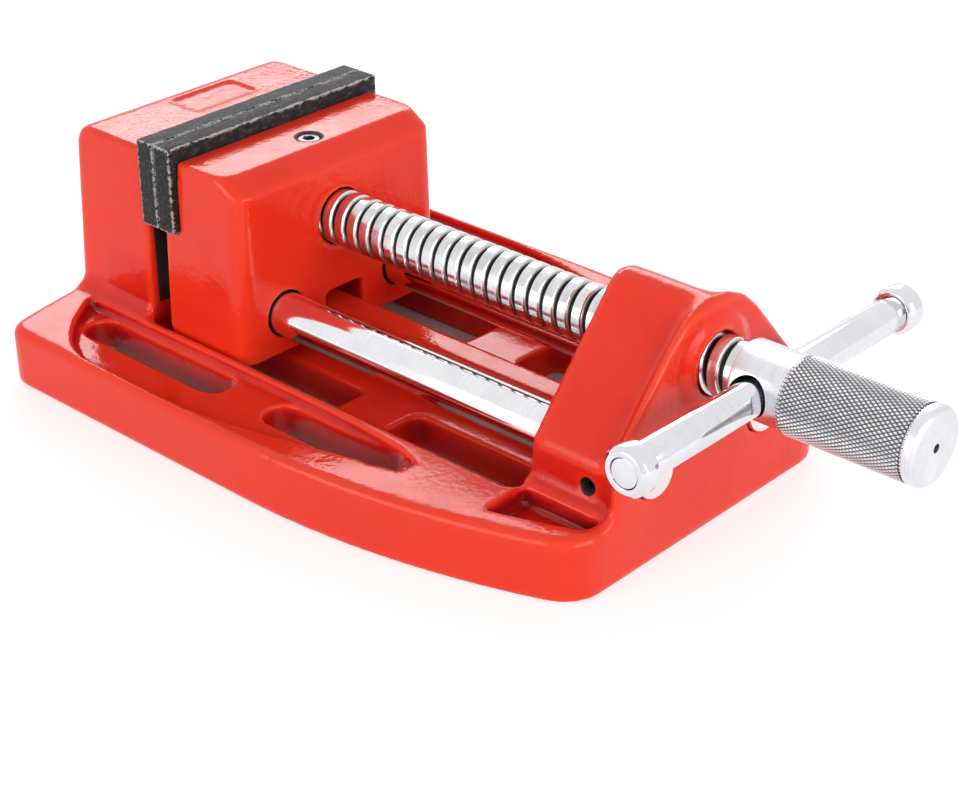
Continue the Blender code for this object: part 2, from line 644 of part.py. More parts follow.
# Moving jaw: a block with a chamfered top, a ledge under its plate and a notch over the ridge
chamfer_start = JAW_TOP - MOVING_JAW_CHAMFER_DROP
bottom_levels = {MOVING_JAW_BOTTOM + size * part for size in (JAW_EDGE, MOVING_JAW_TOE) for part in edge_turn}
moving_rings = []
for level in sorted(bottom_levels | {chamfer_start} | set(edge_levels)):
    upside_down = MOVING_JAW_BOTTOM + JAW_TOP - level
    inset = edge_inset(level, JAW_TOP, JAW_EDGE) + edge_inset(upside_down, JAW_TOP, JAW_EDGE)
    back = max(level - chamfer_start, 0.0) * MOVING_JAW_CHAMFER_RUN / MOVING_JAW_CHAMFER_DROP
    draft = (JAW_TOP - level) / (JAW_TOP - BASE_HEIGHT)
    half = JAW_WIDTH / 2 - inset + draft * JAW_SIDE_DRAFT
    toe = JAW_FACE - MOVING_JAW_LEDGE + edge_inset(upside_down, JAW_TOP, MOVING_JAW_TOE)
    outline = rounded(toe, MOVING_FRONT - back, -half, half, JAW_FACE_CORNER, MOVING_JAW_CORNER)
    moving_rings.append([(x, y, level) for x, y in outline])
plate_seat = box(
    (-CUT_MARGIN, -PLATE_LENGTH / 2, PLATE_BOTTOM - GAP), (JAW_FACE, PLATE_LENGTH / 2, JAW_TOP + CUT_MARGIN),
)
jaw = cut(loft(moving_rings), plate_seat)
notch_half = RIDGE_HALF_WIDTH + RIDGE_SIDE_CLEARANCE
notch = box(
    (-CUT_MARGIN, -notch_half, -CUT_MARGIN),
    (MOVING_FRONT + CUT_MARGIN, notch_half, RIDGE_HEIGHT + RIDGE_TOP_CLEARANCE), RIDGE_EDGE,
)
jaw = cut(jaw, notch)
for side in (-1, 1):
    at = (0.0, side * ROD_Y, ROD_HEIGHT)
    rod_hole = pin(ROD_RADIUS + SLIDE_CLEARANCE, -CUT_MARGIN, MOVING_FRONT + CUT_MARGIN, BORE_STEPS, "X", at)
    jaw = cut(jaw, rod_hole)
    at = (0.0, side * PLATE_SCREW_SPACING / 2, PLATE_MIDDLE)
    jaw = cut(jaw, pin(PLATE_SCREW_RADIUS + GAP, 0.0, plate_screw_tip + GAP, SMALL_STEPS, "X", at))
screw_seat = turned(
    [(JOURNAL_END - GAP, 0.0), (JOURNAL_END - GAP, JOURNAL_RADIUS + GAP),
     (THREAD_START - GAP, JOURNAL_RADIUS + GAP), (THREAD_START - GAP, THREAD_RADIUS + THREAD_CLEARANCE),
     (MOVING_FRONT + CUT_MARGIN, THREAD_RADIUS + THREAD_CLEARANCE), (MOVING_FRONT + CUT_MARGIN, 0.0)],
    ROUND_STEPS, "X", (0.0, 0.0, SCREW_HEIGHT),
)
grub_bore = pin(GRUB_RADIUS + GAP, SCREW_HEIGHT, JAW_TOP + CUT_MARGIN, SMALL_STEPS, "Z", (GRUB_X, 0.0, 0.0))
jaw = cut(jaw, screw_seat, grub_bore)
solid("moving_jaw", jaw, ENAMEL, (JAW_FACE, 0.0, SCREW_HEIGHT))


# Jaw plates with counterbored holes
def plate(side):
    low, high = sorted((side * GAP / 2, side * PLATE_BACK))
    half = PLATE_LENGTH / 2
    made = box((low, -half, PLATE_BOTTOM), (high, half, PLATE_BOTTOM + PLATE_HEIGHT), PLATE_EDGE)
    head_end = GAP / 2 + PLATE_SCREW_RECESS + PLATE_SCREW_HEAD_HEIGHT + GAP
    for y in (-PLATE_SCREW_SPACING / 2, PLATE_SCREW_SPACING / 2):
        hole = turned(
            [(-CUT_MARGIN, 0.0), (-CUT_MARGIN, PLATE_SCREW_HEAD_RADIUS + GAP),
             (head_end, PLATE_SCREW_HEAD_RADIUS + GAP), (head_end, PLATE_SCREW_RADIUS + GAP),
             (JAW_FACE + CUT_MARGIN, PLATE_SCREW_RADIUS + GAP), (JAW_FACE + CUT_MARGIN, 0.0)],
            SMALL_STEPS,
        )
        facing = Matrix.Rotation(math.pi * (side < 0), 4, "Z")
        hole.transform(Matrix.Translation((0.0, y, PLATE_MIDDLE)) @ facing)
        made = cut(made, hole)
    return made


solid("fixed_jaw_plate", plate(-1), JAW_STEEL)
solid("moving_jaw_plate", plate(1), JAW_STEEL)

# Socket head screws that hold the plates
head_face = GAP / 2 + PLATE_SCREW_RECESS
plate_screw = turned(
    [(head_face, 0.0), (head_face, PLATE_SCREW_HEAD_RADIUS),
     (head_face + PLATE_SCREW_HEAD_HEIGHT, PLATE_SCREW_HEAD_RADIUS),
     (head_face + PLATE_SCREW_HEAD_HEIGHT, PLATE_SCREW_RADIUS),
     (head_face + PLATE_SCREW_LENGTH, PLATE_SCREW_RADIUS), (head_face + PLATE_SCREW_LENGTH, 0.0)],
    SMALL_STEPS,
)
plate_screw = cut(
    plate_screw,
    hexagon_socket(SOCKET_RADIUS, head_face - CUT_MARGIN, head_face + SOCKET_DEPTH, "X", (0.0, 0.0, 0.0)),
)
for jaw_name, turn in (("fixed", math.pi), ("moving", 0.0)):
    for side_name, side in (("right", -1), ("left", 1)):
        made = solid(f"{jaw_name}_plate_screw_{side_name}", plate_screw.copy(), BLACK_OXIDE)
        made.location = (0.0, side * PLATE_SCREW_SPACING / 2, PLATE_MIDDLE)
        made.rotation_euler = (0.0, 0.0, turn)
bpy.data.meshes.remove(plate_screw)

# Guide rods with rounded ends
rod_profile = [(ROD_REAR, 0.0), (ROD_REAR, ROD_RADIUS - ROD_END_ROUND), (ROD_REAR + ROD_END_ROUND, ROD_RADIUS)]
for i in range(EDGE_STEPS + 1):
    angle = math.pi / 2 * i / EDGE_STEPS
    rod_profile.append((
        ROD_FRONT - ROD_END_ROUND * (1 - math.sin(angle)), ROD_RADIUS - ROD_END_ROUND * (1 - math.cos(angle)),
    ))
rod_profile.append((ROD_FRONT, 0.0))
for side_name, side in (("right", -1), ("left", 1)):
    rod = turned(rod_profile, ROUND_STEPS, "X", (0.0, side * ROD_Y, ROD_HEIGHT))
    solid(f"guide_rod_{side_name}", rod, ROD_STEEL, (ROD_REAR, side * ROD_Y, ROD_HEIGHT))

# Set screws in the sides of the front block, tight on the rods
set_screw_tip = ROD_Y + ROD_RADIUS + GAP
set_screw_head = set_screw_tip + SET_SCREW_LENGTH
for side_name, side in (("right", -1), ("left", 1)):
    at = (SET_SCREW_X, 0.0, SET_SCREW_Z)
    ends = sorted((side * set_screw_tip, side * set_screw_head))
    socket_ends = sorted((side * (set_screw_head - SET_SCREW_SOCKET_DEPTH), side * (set_screw_head + CUT_MARGIN)))
    made = cut(
        pin(SET_SCREW_RADIUS, *ends, SMALL_STEPS, "Y", at),
        hexagon_socket(SET_SCREW_SOCKET, *socket_ends, "Y", at),
    )
    solid(f"rod_set_screw_{side_name}", made, BLACK_OXIDE)

# Grub screw whose dog point sits in the groove of the lead screw
grub_top = JAW_TOP - GRUB_BELOW_TOP
groove_radius = JOURNAL_RADIUS - GROOVE_DEPTH
dog_tip = SCREW_HEIGHT + groove_radius + GAP
dog_shoulder = dog_tip + GRUB_DOG_LENGTH
grub = turned(
    [(dog_tip, 0.0), (dog_tip, GRUB_DOG_RADIUS), (dog_shoulder, GRUB_DOG_RADIUS), (dog_shoulder, GRUB_RADIUS),
     (grub_top, GRUB_RADIUS), (grub_top, 0.0)],
    SMALL_STEPS, "Z", (GRUB_X, 0.0, 0.0),
)
grub_socket = hexagon_socket(
    SOCKET_RADIUS, grub_top - SOCKET_DEPTH, grub_top + CUT_MARGIN, "Z", (GRUB_X, 0.0, 0.0),
)
solid("screw_retaining_screw", cut(grub, grub_socket), BLACK_OXIDE)

# Lead screw: right-hand trapezoidal thread swept by a Screw modifier and cut square at its ends
flank = (THREAD_PITCH - THREAD_CREST - THREAD_ROOT) / 2
thread_root = THREAD_RADIUS - THREAD_DEPTH
profile = [
    (thread_root, THREAD_PITCH), (THREAD_RADIUS, THREAD_PITCH - flank),
    (THREAD_RADIUS, THREAD_PITCH - flank - THREAD_CREST), (thread_root, THREAD_ROOT), (thread_root, 0.0),
]
thread_end = HUB_START + OVERLAP / 2
turns = math.ceil((thread_end - THREAD_START) / THREAD_PITCH) + 2
bm = bmesh.new()
points = [bm.verts.new((radius, 0.0, distance)) for radius, distance in profile]
for pair in zip(points, points[1:]):
    bm.edges.new(pair)
thread_mesh = bpy.data.meshes.new("thread_profile")
bm.to_mesh(thread_mesh)
bm.free()
thread_object = bpy.data.objects.new("thread_profile", thread_mesh)
bpy.context.scene.collection.objects.link(thread_object)
sweep = thread_object.modifiers.new("sweep", "SCREW")
sweep.axis = "Z"
sweep.angle = 2.0 * math.pi
sweep.screw_offset = THREAD_PITCH
sweep.iterations = turns
sweep.steps = THREAD_STEPS
sweep.render_steps = THREAD_STEPS
sweep.use_merge_vertices = True
sweep.merge_threshold = 1e-5
swept = bpy.data.meshes.new_from_object(thread_object.evaluated_get(bpy.context.evaluated_depsgraph_get()))
bpy.data.objects.remove(thread_object)
bm = bmesh.new()
bm.from_mesh(swept)
bpy.data.meshes.remove(swept)
bmesh.ops.remove_doubles(bm, verts=bm.verts, dist=1e-5)
sweep_start = Matrix.Translation((THREAD_START - THREAD_LEAD_IN, 0.0, SCREW_HEIGHT))
lay_down = sweep_start @ Matrix.Rotation(math.pi / 2, 4, "Y")
bmesh.ops.transform(bm, verts=bm.verts, matrix=lay_down)
for place, away in ((THREAD_START, (-1.0, 0.0, 0.0)), (thread_end, (1.0, 0.0, 0.0))):
    bmesh.ops.bisect_plane(
        bm, geom=bm.verts[:] + bm.edges[:] + bm.faces[:], dist=1e-7,
        plane_co=(place, 0.0, 0.0), plane_no=away, clear_outer=True,
    )
bmesh.ops.holes_fill(bm, edges=bm.edges, sides=0)
thread = as_mesh(bm)

# Nose journal with its groove, then the hub and the grip of the lead screw
groove_low = GRUB_X - GROOVE_WIDTH / 2
groove_high = GRUB_X + GROOVE_WIDTH / 2
nose = turned(
    [(JOURNAL_END, 0.0), (JOURNAL_END, JOURNAL_RADIUS - HUB_EDGE), (JOURNAL_END + HUB_EDGE, JOURNAL_RADIUS),
     (groove_low, JOURNAL_RADIUS), (groove_low, groove_radius), (groove_high, groove_radius),
     (groove_high, JOURNAL_RADIUS), (THREAD_START + OVERLAP, JOURNAL_RADIUS), (THREAD_START + OVERLAP, 0.0)],
    BORE_STEPS, "X", (0.0, 0.0, SCREW_HEIGHT),
)
ring_start = GRIP_END - GRIP_RING
handle = turned(
    [(HUB_START, 0.0), (HUB_START, HUB_RADIUS - HUB_EDGE), (HUB_START + HUB_EDGE, HUB_RADIUS),
     (HUB_END, HUB_RADIUS), (HUB_END, GRIP_RADIUS - GRIP_NECK), (HUB_END + GRIP_NECK, GRIP_RADIUS),
     (ring_start - GRIP_NECK, GRIP_RADIUS), (ring_start, GRIP_RADIUS - GRIP_NECK),
     (ring_start + GRIP_NECK, GRIP_RADIUS), (GRIP_END - GRIP_CHAMFER, GRIP_RADIUS),
     (GRIP_END, GRIP_RADIUS - GRIP_CHAMFER), (GRIP_END, CENTRE_DRILL_RADIUS),
     (GRIP_END - CENTRE_DRILL_DEPTH, 0.0)],
    ROUND_STEPS, "X", (0.0, 0.0, SCREW_HEIGHT),
)
bar_hole = pin(
    BAR_RADIUS + BAR_HOLE_CLEARANCE, -HUB_RADIUS - CUT_MARGIN, HUB_RADIUS + CUT_MARGIN,
    BORE_STEPS, "Y", (BAR_X, 0.0, SCREW_HEIGHT),
)
lead_screw = join(thread, nose, cut(handle, bar_hole))
solid("lead_screw", lead_screw, SCREW_STEEL, (HUB_START, 0.0, SCREW_HEIGHT))

# Tommy bar, thinned at both ends for its riveted caps
bar_half = BAR_LENGTH / 2
cap_inner = bar_half - CAP_LENGTH
bar_shoulder = cap_inner - GAP
at = (BAR_X, BAR_SHIFT, BAR_Z)
bar = turned(
    [(-bar_half, 0.0), (-bar_half, TENON_RADIUS), (-bar_shoulder, TENON_RADIUS), (-bar_shoulder, BAR_RADIUS),
     (bar_shoulder, BAR_RADIUS), (bar_shoulder, TENON_RADIUS), (bar_half, TENON_RADIUS), (bar_half, 0.0)],
    BORE_STEPS, "Y", at,
)
solid("tommy_bar", bar, BAR_CHROME, at)
cap_bore = TENON_RADIUS + GAP
for side_name, side in (("near", -1), ("far", 1)):
    inner = side * cap_inner
    outer = side * bar_half
    chamfer = side * CAP_CHAMFER
    cap = turned(
        [(inner, cap_bore), (inner, CAP_RADIUS - CAP_CHAMFER), (inner + chamfer, CAP_RADIUS),
         (outer - chamfer, CAP_RADIUS), (outer, CAP_RADIUS - CAP_CHAMFER), (outer, cap_bore),
         (inner, cap_bore)],
        BORE_STEPS, "Y", at,
    )
    solid(f"tommy_bar_cap_{side_name}", cap, BAR_CHROME, at)
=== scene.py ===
import math

import bmesh
import bpy
import numpy as np
from mathutils import Matrix, Vector
from mathutils.bvhtree import BVHTree


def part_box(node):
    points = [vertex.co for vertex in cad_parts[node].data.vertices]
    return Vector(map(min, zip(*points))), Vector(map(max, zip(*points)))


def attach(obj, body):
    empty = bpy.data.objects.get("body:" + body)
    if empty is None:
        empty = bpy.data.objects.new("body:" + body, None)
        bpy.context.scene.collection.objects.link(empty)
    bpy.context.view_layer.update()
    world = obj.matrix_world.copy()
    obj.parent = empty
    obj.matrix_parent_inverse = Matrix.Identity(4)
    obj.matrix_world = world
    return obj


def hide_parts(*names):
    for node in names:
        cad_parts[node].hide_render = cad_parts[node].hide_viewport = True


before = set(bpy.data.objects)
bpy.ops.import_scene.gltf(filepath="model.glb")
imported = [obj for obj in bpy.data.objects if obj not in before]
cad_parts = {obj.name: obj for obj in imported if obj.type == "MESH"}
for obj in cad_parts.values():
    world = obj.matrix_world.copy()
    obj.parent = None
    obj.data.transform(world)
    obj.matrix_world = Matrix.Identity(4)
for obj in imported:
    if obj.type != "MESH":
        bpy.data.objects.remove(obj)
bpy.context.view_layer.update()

# Base casting: the slotted bed, the fixed jaw and the screw's front bearing are one iron
# casting, fettled, primed and dipped in glossy orange-red enamel, which has drawn back a
# little from the edges, pooled in the corners and dried slightly wavy over the cast skin.
# Its colour is lighter on edges, partly for the thinner enamel and partly as painted
# highlight, and darker in corners and hollows, partly for the pooled enamel and partly as
# painted shade.
ENAMEL_THIN_AND_HIGHLIT = (0.930, 0.060, 0.018, 1.0)
ENAMEL_BODY = (0.900, 0.034, 0.011, 1.0)
ENAMEL_POOLED_AND_SHADED = (0.560, 0.010, 0.009, 1.0)
ENAMEL_HOLLOW_SHADE = (0.300, 0.006, 0.007, 1.0)
# Bare iron at bore mouths and on the milled face, coloured near black as painted shade.
SHADED_BARE_IRON = (0.030, 0.026, 0.026, 1.0)
BARE_IRON_ROUGHNESS = 0.55
ENAMEL_SPECULAR = 0.28
PEEL_SCALE = 560.0
RIPPLE_SCALE = 75.0
CLOUD_SCALE = 34.0
PEEL_SHARE = 0.34
HOLLOW_SHADE_PULL = -0.60
ENAMEL_RELIEF = 0.48
ENAMEL_RELIEF_DEPTH = 0.0006
MOUTH_BLUR = 0.0001
MILLED_BLUR = 0.0002
CAST_VOXEL = 0.0010
CAST_SMOOTHING = 5
CAST_FACES = 150000
CAST_SMOOTH_BELOW = 70.0
FILM_AND_LIGHT_REACH = 0.0011
HOLLOW_REACH = 0.045
HOLLOW_RAYS = 40
HOLLOW_START = 0.0005
HOLLOW_LEAN = 0.15
HOLLOW_EVENING = 4
BULGE_EVENING = 3


def new_group(name, sockets_in, sockets_out):
    """An empty shader group with the named inputs and outputs."""
    group = bpy.data.node_groups.new(name, "ShaderNodeTree")
    for label, kind, value in sockets_in:
        socket = group.interface.new_socket(label, in_out="INPUT", socket_type=kind)
        socket.default_value = value
    for label, kind in sockets_out:
        group.interface.new_socket(label, in_out="OUTPUT", socket_type=kind)
    return group, group.nodes.new("NodeGroupInput"), group.nodes.new("NodeGroupOutput")


def node(tree, kind, **settings):
    """Add a node; in_0, in_Scale and so on set one of its inputs, or link it where a socket is given."""
    made = tree.nodes.new(kind)
    for key, value in settings.items():
        if not key.startswith("in_"):
            setattr(made, key, value)
            continue
        label = key[3:].replace("_", " ")
        socket = made.inputs[int(label) if label.isdigit() else label]
        if isinstance(value, bpy.types.NodeSocket):
            tree.links.new(value, socket)
        else:
            socket.default_value = value
    return made


def mottled(tree, where, scale, detail, roughness):
    """The value of a noise texture at a place."""
    made = node(
        tree, "ShaderNodeTexNoise", in_Vector=where, in_Scale=scale, in_Detail=detail, in_Roughness=roughness,
    )
    return made.outputs["Fac"]


def reckoned(tree, operation, *values):
    """The result of one sum on numbers or sockets."""
    settings = {f"in_{index}": value for index, value in enumerate(values)}
    return node(tree, "ShaderNodeMath", operation=operation, **settings).outputs[0]


def graded(tree, value, low, high, at_low, at_high):
    """What a value between low and high becomes when these become at_low and at_high."""
    made = node(tree, "ShaderNodeMapRange", in_0=value, in_1=low, in_2=high, in_3=at_low, in_4=at_high)
    return made.outputs[0]


def blended(tree, share, one, other):
    """A colour that goes from one to the other with the share."""
    return node(tree, "ShaderNodeMix", data_type="RGBA", in_Factor=share, in_6=one, in_7=other).outputs[2]


def weighed(tree, share, one, other):
    """A value that goes from one to the other with the share."""
    return node(tree, "ShaderNodeMix", data_type="FLOAT", in_Factor=share, in_2=one, in_3=other).outputs[0]


def embossed(tree, shader, height, strength, depth):
    """Let a height tilt the shader's normals."""
    bump = node(tree, "ShaderNodeBump", in_Strength=strength, in_Distance=depth, in_Height=height)
    tree.links.new(bump.outputs["Normal"], shader.inputs["Normal"])


def glossy(name, colour, roughness, metallic, specular=0.5):
    """A Principled material with its plain values set on its own sockets."""
    made = bpy.data.materials.new(name)
    made.use_nodes = True
    shader = made.node_tree.nodes["Principled BSDF"]
    shader.inputs["Base Color"].default_value = colour
    shader.inputs["Roughness"].default_value = roughness
    shader.inputs["Metallic"].default_value = metallic
    shader.inputs["Specular IOR Level"].default_value = specular
    return made, made.node_tree, shader


orange_peel, given, told = new_group(
    "orange_peel",
    [("Rounding", "NodeSocketFloat", 0.5), ("Hollow", "NodeSocketFloat", 0.0)],
    [("Colour", "NodeSocketColor"), ("Roughness", "NodeSocketFloat"), ("Height", "NodeSocketFloat")],
)
link = orange_peel.links.new
where = node(orange_peel, "ShaderNodeTexCoord").outputs["Object"]
peel = mottled(orange_peel, where, PEEL_SCALE, 1.5, 0.45)
ripple = mottled(orange_peel, where, RIPPLE_SCALE, 2.0, 0.5)
cloud = mottled(orange_peel, where, CLOUD_SCALE, 3.0, 0.6)
peel_part = reckoned(orange_peel, "MULTIPLY", peel, PEEL_SHARE)
link(reckoned(orange_peel, "ADD", peel_part, ripple), told.inputs["Height"])
uneven = graded(orange_peel, cloud, 0.30, 0.70, -0.06, 0.06)
bulge_and_tone = reckoned(orange_peel, "ADD", given.outputs["Rounding"], uneven)
# Hollows and concave corners go darker, partly pooled enamel and partly painted shade, and edges go lighter,
# partly thinner enamel and partly painted highlight.
shaded_bulge_and_tone = reckoned(orange_peel, "MULTIPLY_ADD", given.outputs["Hollow"], HOLLOW_SHADE_PULL, bulge_and_tone)
tint = node(orange_peel, "ShaderNodeValToRGB", in_Fac=shaded_bulge_and_tone)
tint.color_ramp.elements[0].position = 0.02
tint.color_ramp.elements[0].color = ENAMEL_HOLLOW_SHADE
tint.color_ramp.elements[1].position = 0.92
tint.color_ramp.elements[1].color = ENAMEL_THIN_AND_HIGHLIT
for place, colour in ((0.20, ENAMEL_POOLED_AND_SHADED), (0.48, ENAMEL_BODY)):
    tint.color_ramp.elements.new(place).color = colour
link(tint.outputs["Color"], told.inputs["Colour"])
link(graded(orange_peel, ripple, 0.35, 0.65, 0.10, 0.20), told.inputs["Roughness"])

near_axis, given, told = new_group(
    "near_axis",
    [("Axis Place", "NodeSocketVector", (0.0, 0.0, 0.0)), ("Across", "NodeSocketVector", (1.0, 1.0, 0.0)),
     ("Low", "NodeSocketFloat", 0.0), ("High", "NodeSocketFloat", 1.0)],
    [("Mask", "NodeSocketFloat")],
)
where = node(near_axis, "ShaderNodeTexCoord").outputs["Object"]
away = node(
    near_axis, "ShaderNodeVectorMath", operation="SUBTRACT", in_0=where, in_1=given.outputs["Axis Place"],
)
spoke = node(
    near_axis, "ShaderNodeVectorMath", operation="MULTIPLY",
    in_0=away.outputs[0], in_1=given.outputs["Across"],
)
radius_now = node(near_axis, "ShaderNodeVectorMath", operation="LENGTH", in_0=spoke.outputs[0])
mask = graded(near_axis, radius_now.outputs["Value"], given.outputs["Low"], given.outputs["High"], 1.0, 0.0)
near_axis.links.new(mask, told.inputs["Mask"])

box_distance, given, told = new_group(
    "box_distance",
    [("Middle", "NodeSocketVector", (0.0, 0.0, 0.0)), ("Half Size", "NodeSocketVector", (1.0, 1.0, 1.0))],
    [("Nearest", "NodeSocketFloat"), ("Second", "NodeSocketFloat")],
)
where = node(box_distance, "ShaderNodeTexCoord").outputs["Object"]
away = node(
    box_distance, "ShaderNodeVectorMath", operation="SUBTRACT", in_0=where, in_1=given.outputs["Middle"],
)
span = node(box_distance, "ShaderNodeVectorMath", operation="ABSOLUTE", in_0=away.outputs[0])
depth = node(
    box_distance, "ShaderNodeVectorMath", operation="SUBTRACT",
    in_0=given.outputs["Half Size"], in_1=span.outputs[0],
)
apart = node(box_distance, "ShaderNodeSeparateXYZ", in_0=depth.outputs[0]).outputs
nearer = reckoned(box_distance, "MINIMUM", apart["X"], apart["Y"])
farther = reckoned(box_distance, "MAXIMUM", apart["X"], apart["Y"])
nearest = reckoned(box_distance, "MINIMUM", nearer, apart["Z"])
third = reckoned(box_distance, "MINIMUM", farther, apart["Z"])
box_distance.links.new(nearest, told.inputs["Nearest"])
box_distance.links.new(reckoned(box_distance, "MAXIMUM", nearer, third), told.inputs["Second"])


def around_axis(tree, place, across, low, high):
    """1 within the radius low of an axis through a place, and 0 past the radius high."""
    made = node(
        tree, "ShaderNodeGroup", node_tree=near_axis, in_Axis_Place=place, in_Across=across,
        in_Low=low, in_High=high,
    )
    return made.outputs["Mask"]


def box_depth(tree, low, high, of):
    """How deep a point lies below the nearest or the second nearest side of the box between two corners."""
    middle = (Vector(low) + Vector(high)) / 2
    half = (Vector(high) - Vector(low)) / 2
    made = node(tree, "ShaderNodeGroup", node_tree=box_distance, in_Middle=middle, in_Half_Size=half)
    return made.outputs[of]


def enamelled(name, bores, milled_in_shade=()):
    """Enamel that gives way to bare iron, painted near black as shade, at the mouths of bores (place, across,
    radius) and at milled boxes (low, high).
    """
    made, tree, shader = glossy(name, ENAMEL_BODY, 0.15, 0.0, ENAMEL_SPECULAR)
    skin = node(
        tree, "ShaderNodeGroup", node_tree=orange_peel,
        in_Rounding=node(tree, "ShaderNodeAttribute", attribute_name="rounding").outputs["Fac"],
        in_Hollow=node(tree, "ShaderNodeAttribute", attribute_name="hollow").outputs["Fac"],
    )
    masks = [around_axis(tree, place, across, radius, radius + MOUTH_BLUR) for place, across, radius in bores]
    for low, high in milled_in_shade:
        masks.append(graded(tree, box_depth(tree, low, high, "Nearest"), 0.0, MILLED_BLUR, 0.0, 1.0))
    bare_and_shaded = masks[0]
    for mask in masks[1:]:
        bare_and_shaded = reckoned(tree, "MAXIMUM", bare_and_shaded, mask)
    colour = blended(tree, bare_and_shaded, skin.outputs["Colour"], SHADED_BARE_IRON)
    tree.links.new(colour, shader.inputs["Base Color"])
    roughness = weighed(tree, bare_and_shaded, skin.outputs["Roughness"], BARE_IRON_ROUGHNESS)
    tree.links.new(roughness, shader.inputs["Roughness"])
    embossed(tree, shader, skin.outputs["Height"], ENAMEL_RELIEF, ENAMEL_RELIEF_DEPTH)
    return made


def show(name, mesh, finish, body, replaced=(), smooth_below=30.0):
    """Put a finished mesh in the scene with its material and its body, and hide the CAD nodes it replaces."""
    mesh.name = name
    mesh.materials.clear()
    mesh.materials.append(finish)
    mesh.polygons.foreach_set("material_index", [0] * len(mesh.polygons))
    mesh.polygons.foreach_set("use_smooth", [True] * len(mesh.polygons))
    mesh.set_sharp_from_angle(angle=math.radians(smooth_below))
    made = bpy.data.objects.new(name, mesh)
    bpy.context.scene.collection.objects.link(made)
    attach(made, body)
    if replaced:
        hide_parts(*replaced)


def with_modifiers(mesh, *steps):
    """Run a mesh through modifiers given as (kind, settings) and return the result."""
    carrier = bpy.data.objects.new("carrier", mesh)
    bpy.context.scene.collection.objects.link(carrier)
    for kind, settings in steps:
        step = carrier.modifiers.new(kind.lower(), kind)
        for key, value in settings.items():
            setattr(step, key, value)
    graph = bpy.context.evaluated_depsgraph_get()
    result = bpy.data.meshes.new_from_object(carrier.evaluated_get(graph))
    bpy.data.objects.remove(carrier)
    return result


def spread_out(value, one, other, rounds):
    """Even out a value over the mesh's vertices along its edges."""
    count = len(value)
    shared = np.bincount(one, minlength=count) + np.bincount(other, minlength=count)
    for _ in range(rounds):
        around = np.bincount(one, value[other], count) + np.bincount(other, value[one], count)
        value = (value + around / shared) / 2
    return value


def mark_bulge_and_shade(mesh, reach):
    """Store how each point bulges (0.5 on a flat, 1 on an edge) and how shut in it is (0 in the open); the
    enamel turns the bulge into lighter edges and darker corners, partly painted light, and the shut-in value
    into painted shade.
    """
    count = len(mesh.vertices)
    place = np.empty(count * 3)
    normal = np.empty(count * 3)
    pairs = np.empty(len(mesh.edges) * 2, dtype=int)
    mesh.vertices.foreach_get("co", place)
    mesh.vertices.foreach_get("normal", normal)
    mesh.edges.foreach_get("vertices", pairs)
    place = place.reshape(-1, 3)
    normal = normal.reshape(-1, 3)
    one, other = pairs.reshape(-1, 2).T
    along = place[other] - place[one]
    bend = np.einsum("ij,ij->i", normal[other] - normal[one], along) / np.einsum("ij,ij->i", along, along)
    shared = np.bincount(one, minlength=count) + np.bincount(other, minlength=count)
    bulge = (np.bincount(one, bend, count) + np.bincount(other, bend, count)) / shared
    bulge = spread_out(bulge, one, other, BULGE_EVENING)
    bm = bmesh.new()
    bm.from_mesh(mesh)
    walls = BVHTree.FromBMesh(bm)
    bm.free()
    turn = math.pi * (3.0 - math.sqrt(5.0))
    heights = [1.0 - (2 * i + 1) / HOLLOW_RAYS for i in range(HOLLOW_RAYS)]
    rays = [
        Vector((math.sqrt(1 - z * z) * math.cos(turn * i), math.sqrt(1 - z * z) * math.sin(turn * i), z))
        for i, z in enumerate(heights)
    ]
    leaning = normal @ np.array(rays).T
    shut = np.zeros(count)
    for index in range(count):
        start = Vector(place[index] + normal[index] * HOLLOW_START)
        for ray in np.nonzero(leaning[index] > HOLLOW_LEAN)[0]:
            if walls.ray_cast(start, rays[ray], HOLLOW_REACH)[0] is not None:
                shut[index] += leaning[index, ray]
    shut /= np.where(leaning > HOLLOW_LEAN, leaning, 0.0).sum(axis=1)
    shut = spread_out(shut, one, other, HOLLOW_EVENING)
    for label, value in (("rounding", 0.5 + bulge * reach), ("hollow", shut)):
        mesh.attributes.new(label, "FLOAT", "POINT").data.foreach_set("value", np.clip(value, 0.0, 1.0))


def cast_skin(name, voxel, smoothing, most_faces):
    """A CAD solid with its edges softened evenly, as thick enamel over a casting leaves them."""
    bm = bmesh.new()
    bm.from_mesh(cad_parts[name].data)
    bmesh.ops.remove_doubles(bm, verts=bm.verts, dist=1e-6)
    mesh = bpy.data.meshes.new(name + "_skin")
    bm.to_mesh(mesh)
    bm.free()
    mesh = with_modifiers(
        mesh,
        ("REMESH", {"mode": "VOXEL", "voxel_size": voxel, "use_smooth_shade": True}),
        ("SMOOTH", {"factor": 0.5, "iterations": smoothing}),
    )
    triangles = 2 * len(mesh.polygons)
    share = min(1.0, most_faces / triangles)
    mesh = with_modifiers(mesh, ("DECIMATE", {"decimate_type": "COLLAPSE", "ratio": share}))
    mark_bulge_and_shade(mesh, FILM_AND_LIGHT_REACH)
    return mesh


def middle_of(name):
    """The middle and the low and high corners of a CAD node's box."""
    low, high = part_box(name)
    return (Vector(low) + Vector(high)) / 2, Vector(low), Vector(high)


ALONG_X = (0.0, 1.0, 1.0)
ALONG_Y = (1.0, 0.0, 1.0)
ALONG_Z = (1.0, 1.0, 0.0)
BORE_SHADE_RING = 0.0007
MILLED_FROM_SIDE = 0.0045
MILLED_SKIN = 0.0012
BED_TOP = 0.0265
base_low, base_high = middle_of("base_casting")[1:]
plate_low, plate_high = middle_of("fixed_jaw_plate")[1:]
set_screw, set_screw_low, set_screw_high = middle_of("rod_set_screw_right")
